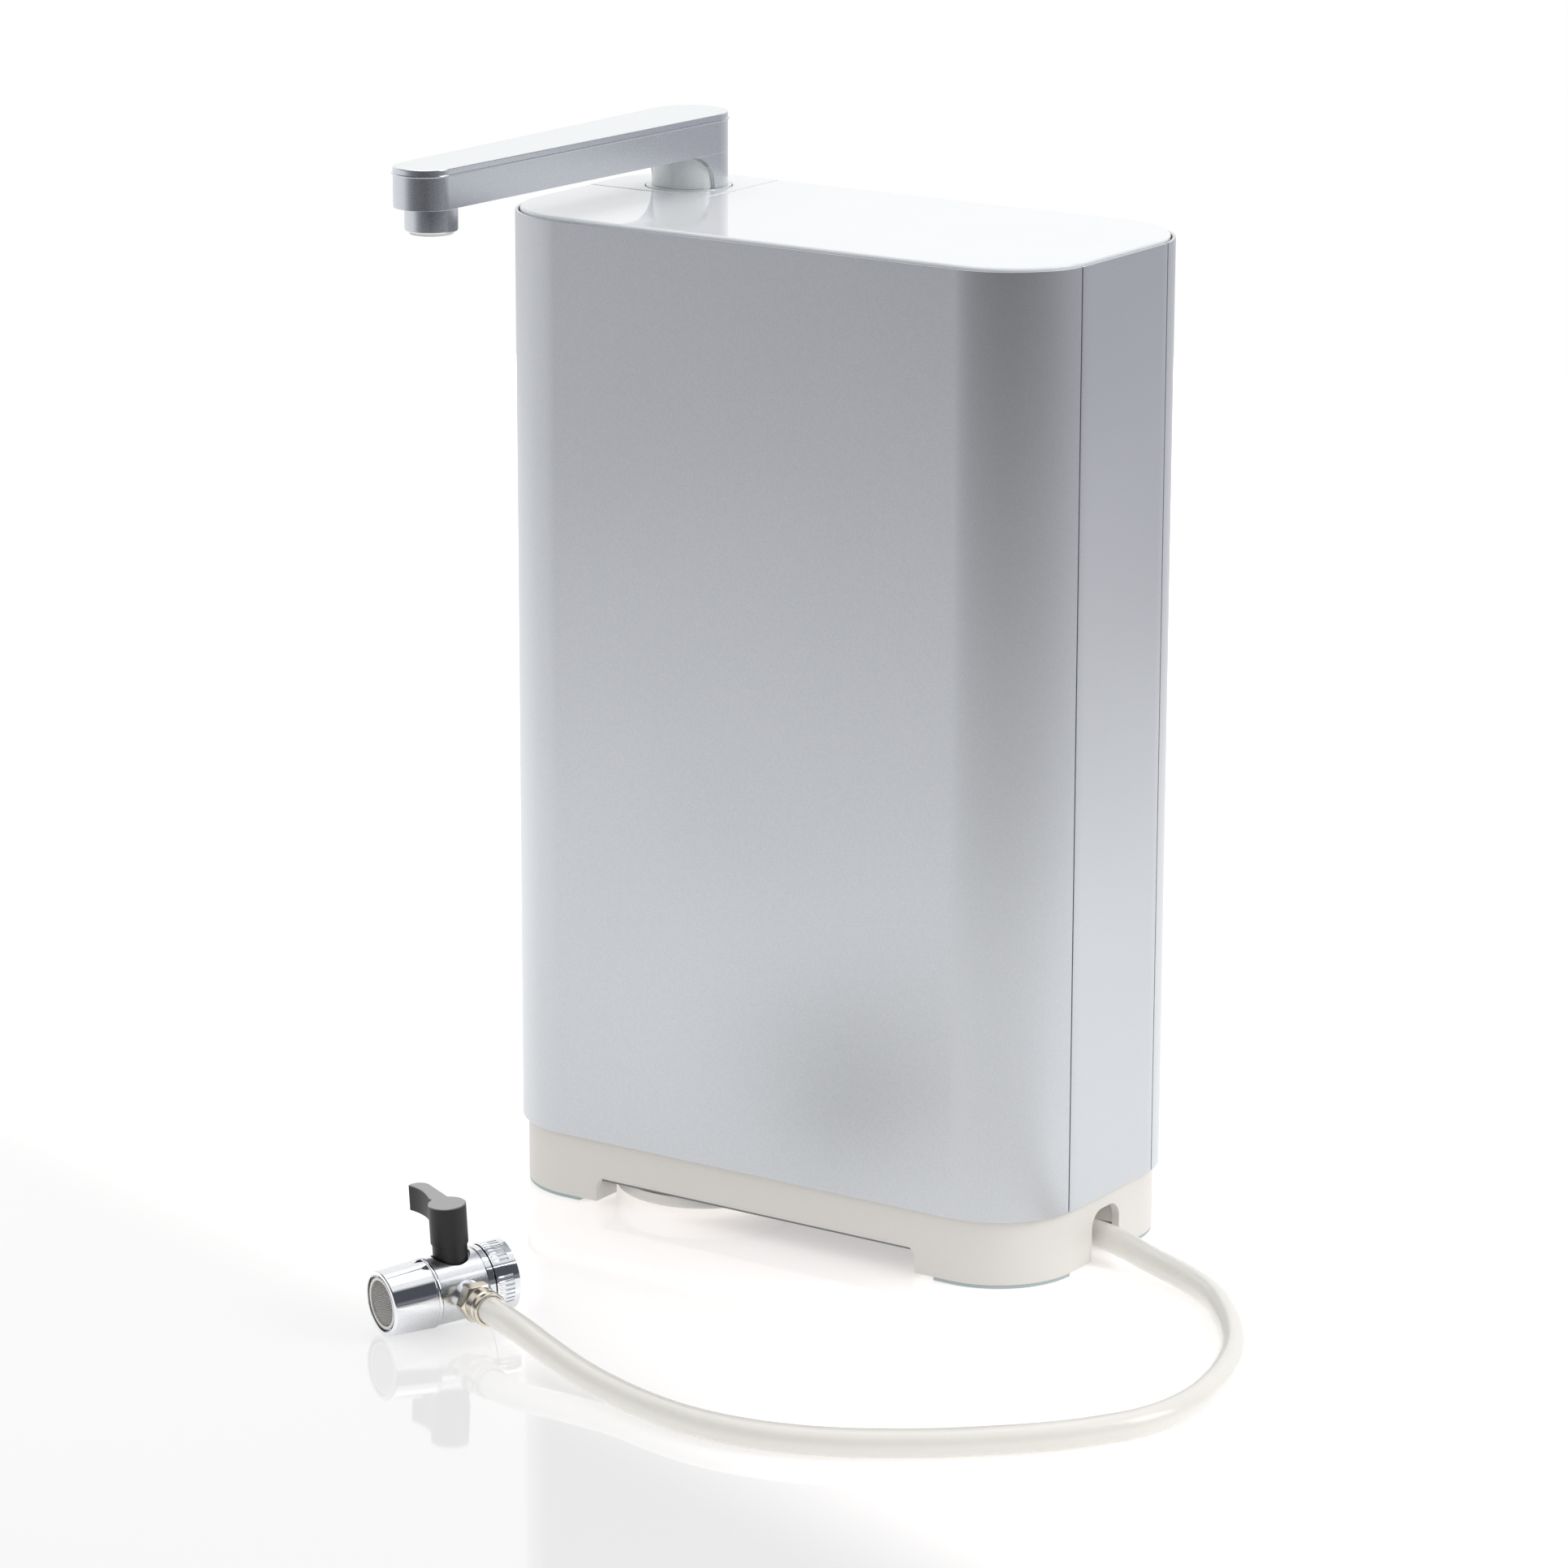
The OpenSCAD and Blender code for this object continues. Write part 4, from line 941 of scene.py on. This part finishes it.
# %% Sleeve
SLEEVE_LENGTH, SLEEVE_R = 2.4, 6.2
sleeve = turned(tube(skirt_end, skirt_end + SLEEVE_LENGTH, NUT_BORE, SLEEVE_R))
round_edges(sleeve, 0.5 * MM, steps=4)
sleeve.transform(PORT)
finish_piece(sleeve, "hose_sleeve")

# %% [markdown]
# ## Cap under the base
# A round cap closes the first filter from below, and its rim shows in the notch of the base. The
# frame's shape is right, and only the lower edge of the rim has a much softer radius than the rest.

# %% Cap under the base
service_cap = merged_copy("service_cap")
cap_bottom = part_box("service_cap")[0].z
cap_middle = sum(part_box("service_cap"), Vector()) / 2
RIM_FROM = 30 * MM


def on_cap_rim(vert):
    return vert.co.z - cap_bottom < TINY and (vert.co - cap_middle).xy.length > RIM_FROM


cap_rim = [e for e in service_cap.edges if all(on_cap_rim(v) for v in e.verts)]
bevel(service_cap, [e for e in cap_rim if e.calc_face_angle(0) > SHARP], 1.6 * MM, steps=6)
round_edges(service_cap, 0.3 * MM)
finish_piece(service_cap, "service_cap")

# %% [markdown]
# ## Screws of the rear cover
# Four screws with low round heads hold the rear cover. Each head has a cross recess. A plus shape
# is what stays of a grid of nine faces without its corners, and drawing it in makes the recess.

# %% Screws
HEAD_R, HEAD_H, SHANK_R = 3.6, 1.6, 2.0
CROSS_HALF, CROSS_DEPTH = 1.5, 1.1
HEAD_RIM_BEYOND = 3.4
screw_low, screw_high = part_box("cover_screws")
SCREW_PLACES = [(x, z) for x in (-80, 80) for z in (60, 310)]


def draw_up(bm, edges, height, shrink=None):
    """Draws a ring of edges up, and may bring the new ring to another radius."""
    risen = bmesh.ops.extrude_edge_only(bm, edges=edges)["geom"]
    for vert in verts_in(risen):
        vert.co.z += height * MM
        if shrink:
            vert.co.xy = vert.co.xy.normalized() * shrink * MM
    return edges_in(risen)


def screw():
    """A screw whose head looks down, with its top at height 0."""
    bm = bmesh.new()
    bmesh.ops.create_grid(bm, x_segments=3, y_segments=3, size=CROSS_HALF * MM)
    corners = [f for f in bm.faces if min(abs(s) for s in f.calc_center_median().xy) > TINY]
    bmesh.ops.delete(bm, geom=corners, context="FACES")
    cross = bm.faces[:]
    cross_rim = [e for e in bm.edges if e.is_boundary]
    bmesh.ops.create_circle(bm, radius=HEAD_R * MM, segments=48)
    head_rim = [e for e in bm.edges if not e.link_faces]
    bmesh.ops.triangle_fill(bm, use_beauty=True, edges=cross_rim + head_rim)
    deep = bmesh.ops.extrude_face_region(bm, geom=cross)["geom"]
    bmesh.ops.delete(bm, geom=cross, context="FACES")
    bmesh.ops.translate(bm, vec=(0, 0, CROSS_DEPTH * MM), verts=verts_in(deep))
    ring = draw_up(bm, head_rim, HEAD_H)
    ring = draw_up(bm, ring, 0, shrink=SHANK_R)
    ring = draw_up(bm, ring, (screw_high.y - screw_low.y) / MM - HEAD_H)
    bmesh.ops.contextual_create(bm, geom=ring)
    bmesh.ops.recalc_face_normals(bm, faces=bm.faces)
    top_rim = [e for e in bm.edges
               if all(v.co.z < TINY and v.co.xy.length > HEAD_RIM_BEYOND * MM for v in e.verts)]
    bevel(bm, [e for e in top_rim if e.calc_face_angle(0) > SHARP], 0.7 * MM, steps=4)
    return bm


screws = bmesh.new()
for x, z in SCREW_PLACES:
    one = screw()
    one.transform(Matrix.Rotation(math.pi / 2, 4, "X"))
    one.transform(Matrix.Translation((x * MM, screw_high.y, z * MM)))
    join(screws, one)
finish_piece(screws, "cover_screws")

# %% [markdown]
# ## Remaining nodes
# What stays hidden inside keeps the frame's own mesh and only takes its finish. The hose curve
# moves with the housing, and the frame's own hose is hidden.

# %% Remaining nodes
for name, node in frame["nodes"].items():
    if name != "hose":
        node.data.materials.clear()
        node.data.materials.append(FINISHES[SLOT_OF_NODE[name]])
print("nodes with a finish:", len(frame["nodes"]) - 1)

# %% Hose finish
hose_curve.materials.append(FINISHES["hose_ivory"])
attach(hose, "housing")
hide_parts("hose")

# %% [markdown]
# ## Studio
# The background is white, but in a plain white room the metal would look flat. So what it mirrors
# is shaped: the greys round the object are dark towards the camera and light behind it, which
# shades the case from side to side and gives the round corner its dark band.

# %% Greys round the object
scene = bpy.context.scene
scene.view_settings.view_transform = "Standard"
CAMERA_SIDE = Vector((math.sin(AZIMUTH), -math.cos(AZIMUTH), 0))
CAMERA_LEFT = Vector((-math.cos(AZIMUTH), -math.sin(AZIMUTH), 0))
BLUE_TINT = 0.16
LOW_LEVELS = [(-180, 0.9), (-140, 0.6), (-112, 0.46), (-85, 0.3), (-61, 0.15), (-40, 0.11), (0, 0.05),
              (40, 0.14), (55, 0.26), (64, 0.41), (72, 0.63), (85, 0.8), (120, 0.86), (180, 0.9)]
SKY_LEVELS = [(-180, 1.1), (-150, 0.95), (-130, 0.75), (-100, 0.45), (-50, 0.22), (-30, 0.15),
              (0, 0.05), (45, 0.1), (70, 0.5), (100, 0.85), (140, 1.0), (180, 1.1)]


def smooth(tree, value, start, end):
    """Rises smoothly from 0 to 1 while the value goes from start to end."""
    return add_node(tree, "MapRange", {"interpolation_type": "SMOOTHSTEP"},
                    {"Value": value, "From Min": start, "From Max": end})


def grey(level):
    return (level, level, level, 1)


def ahead(tree, toward):
    """How far a direction or place lies towards the camera."""
    return vectors(tree, "DOT_PRODUCT", toward, CAMERA_SIDE)


def around(tree, toward, levels):
    """A grey for each angle round the object: 0 is the camera, 90 its left and -90 its right."""
    left = vectors(tree, "DOT_PRODUCT", toward, CAMERA_LEFT)
    angle = left.maths("ARCTAN2", ahead(tree, toward))
    stops = [(degrees / 360 + 0.5, (level, level, level + BLUE_TINT * level * (1 - level), 1))
             for degrees, level in levels]
    return add_node(tree, "ValToRGB", {"stops": stops}, {"Fac": angle * (0.5 / math.pi) + 0.5})


print("greys:", len(LOW_LEVELS), "along the floor and", len(SKY_LEVELS), "in the sky")

# %% [markdown]
# ## Floor
# The counter is glossy. It looks white round the object, and in front of the hose its own white
# fades and the image of the valve shows. Near the object it glows a little warm, a painted warm
# tint in its shadows. What the metal sees of it is a grey that is bright near the case and
# painted dark round the foot of the valve: a painted shadow of the valve.

# %% Floor
FLOOR_SIZE = 1.7
FLOOR_FADE, PICTURE_FADE = (0.42, 1.36), (0.5, 1.1)
FRONT_WAY, FRONT_FADE = (-0.33, -0.945, 0), (0.09, 0.2)
VALVE_FOOT, VALVE_SHADOW_FADE = (VALVE.translation.x, VALVE.translation.y, 0), (0.008, 0.042)
WARM_SHADE_GLOW = (0.4, 0.375, 0.365, 1)


def studio_floor():
    bm = bmesh.new()
    bmesh.ops.create_circle(bm, cap_ends=True, radius=FLOOR_SIZE, segments=96)
    mesh = bpy.data.meshes.new("studio_floor")
    bm.to_mesh(mesh)
    bm.free()
    floor = bpy.data.objects.new("studio_floor", mesh)
    scene.collection.objects.link(floor)
    white = Finish("studio_white", {"Roughness": 0.05, "IOR": 1.4, "Emission Strength": 1})
    tree = white.tree
    path = tree.nodes.new("ShaderNodeLightPath")
    seen = Socket(path.outputs["Is Camera Ray"])
    glossy = Socket(path.outputs["Is Glossy Ray"])
    away = vectors(tree, "LENGTH", white.place)
    near = 1 - smooth(tree, away, *FLOOR_FADE)
    mirrored = blend(tree, near, around(tree, white.place, LOW_LEVELS), grey(0.63))
    from_valve = vectors(tree, "DISTANCE", white.place, VALVE_FOOT)
    # Painted shadow: the mirrored floor is made dark round the valve's foot.
    mirrored = blend(tree, smooth(tree, from_valve, *VALVE_SHADOW_FADE), grey(0.25), mirrored)
    lighting = blend(tree, near, grey(0.2), grey(0.36))
    front = smooth(tree, vectors(tree, "DOT_PRODUCT", white.place, FRONT_WAY), *FRONT_FADE)
    # The warm glow shows where the floor is shaded: a painted warm tint in its shadows.
    glow = blend(tree, front, WARM_SHADE_GLOW, grey(0.6))
    pictured = blend(tree, smooth(tree, away, *PICTURE_FADE), glow, grey(1))
    pictured_base = blend(tree, front, grey(0.93), grey(0.26))
    white.set("Base Color", blend(tree, seen, blend(tree, near, grey(0), grey(0.7)), pictured_base))
    white.set("Emission Color", blend(tree, seen, blend(tree, glossy, lighting, mirrored), pictured))
    mesh.materials.append(white.material)


studio_floor()
print("floor:", 2 * FLOOR_SIZE, "m wide")

# %% [markdown]
# ## Sky and lamps
# The sky is light at the back and white above. A dark stretch of it over the camera gives the
# chrome its dark stripe. Two large lamps, one above and one on the right, light the parts softly.

# %% Sky
ZENITH_FADE, HORIZON_FADE = (0.6, 0.85), (-0.05, 0.08)
STRIPE_FROM, STRIPE_TO, STRIPE_SIDE = (0.14, 0.24), (0.7, 0.8), (-0.5, -0.2)
ZENITH, STRIPE = (1.06, 1.06, 1.08, 1), (0.09, 0.095, 0.11, 1)


def studio_world():
    world = bpy.data.worlds.new("studio_world")
    scene.world = world
    world.use_nodes = True
    tree = world.node_tree
    background = tree.nodes["Background"]
    toward = add_node(tree, "TexCoord", output=0)
    height = add_node(tree, "SeparateXYZ", {}, {"Vector": toward}, output=2)
    low, sky = around(tree, toward, LOW_LEVELS), around(tree, toward, SKY_LEVELS)
    sky = blend(tree, smooth(tree, height, *ZENITH_FADE), sky, ZENITH)
    sky = blend(tree, smooth(tree, height, *HORIZON_FADE), low, sky)
    dark = (smooth(tree, height, *STRIPE_FROM) * (1 - smooth(tree, height, *STRIPE_TO))
            * smooth(tree, ahead(tree, toward), *STRIPE_SIDE))
    mirrored = blend(tree, dark, sky, STRIPE)
    path = tree.nodes.new("ShaderNodeLightPath")
    glossy = Socket(path.outputs["Is Glossy Ray"])
    seen = Socket(path.outputs["Is Camera Ray"])
    colour = blend(tree, glossy, grey(0.69), mirrored)
    feed(background.inputs["Color"], blend(tree, seen, colour, grey(1)))


studio_world()
print("sky:", len(scene.world.node_tree.nodes), "nodes")

# %% Lamps
LAMP_TARGET = Vector((0, 0, 0.1))


def soft_lamp(name, place, size, power):
    """A square lamp that looks at the foot of the case."""
    data = bpy.data.lights.new(name, "AREA")
    data.shape = "SQUARE"
    data.size = size
    data.energy = power
    lamp = bpy.data.objects.new(name, data)
    lamp.location = place
    lamp.rotation_euler = (LAMP_TARGET - Vector(place)).to_track_quat("-Z", "Y").to_euler()
    scene.collection.objects.link(lamp)
    print(name, power, "W")


soft_lamp("overhead_softbox", (-0.2, 0.3, 1.7), size=1.4, power=5)
soft_lamp("right_softbox", (1.5, 0.5, 1.1), size=0.9, power=9)
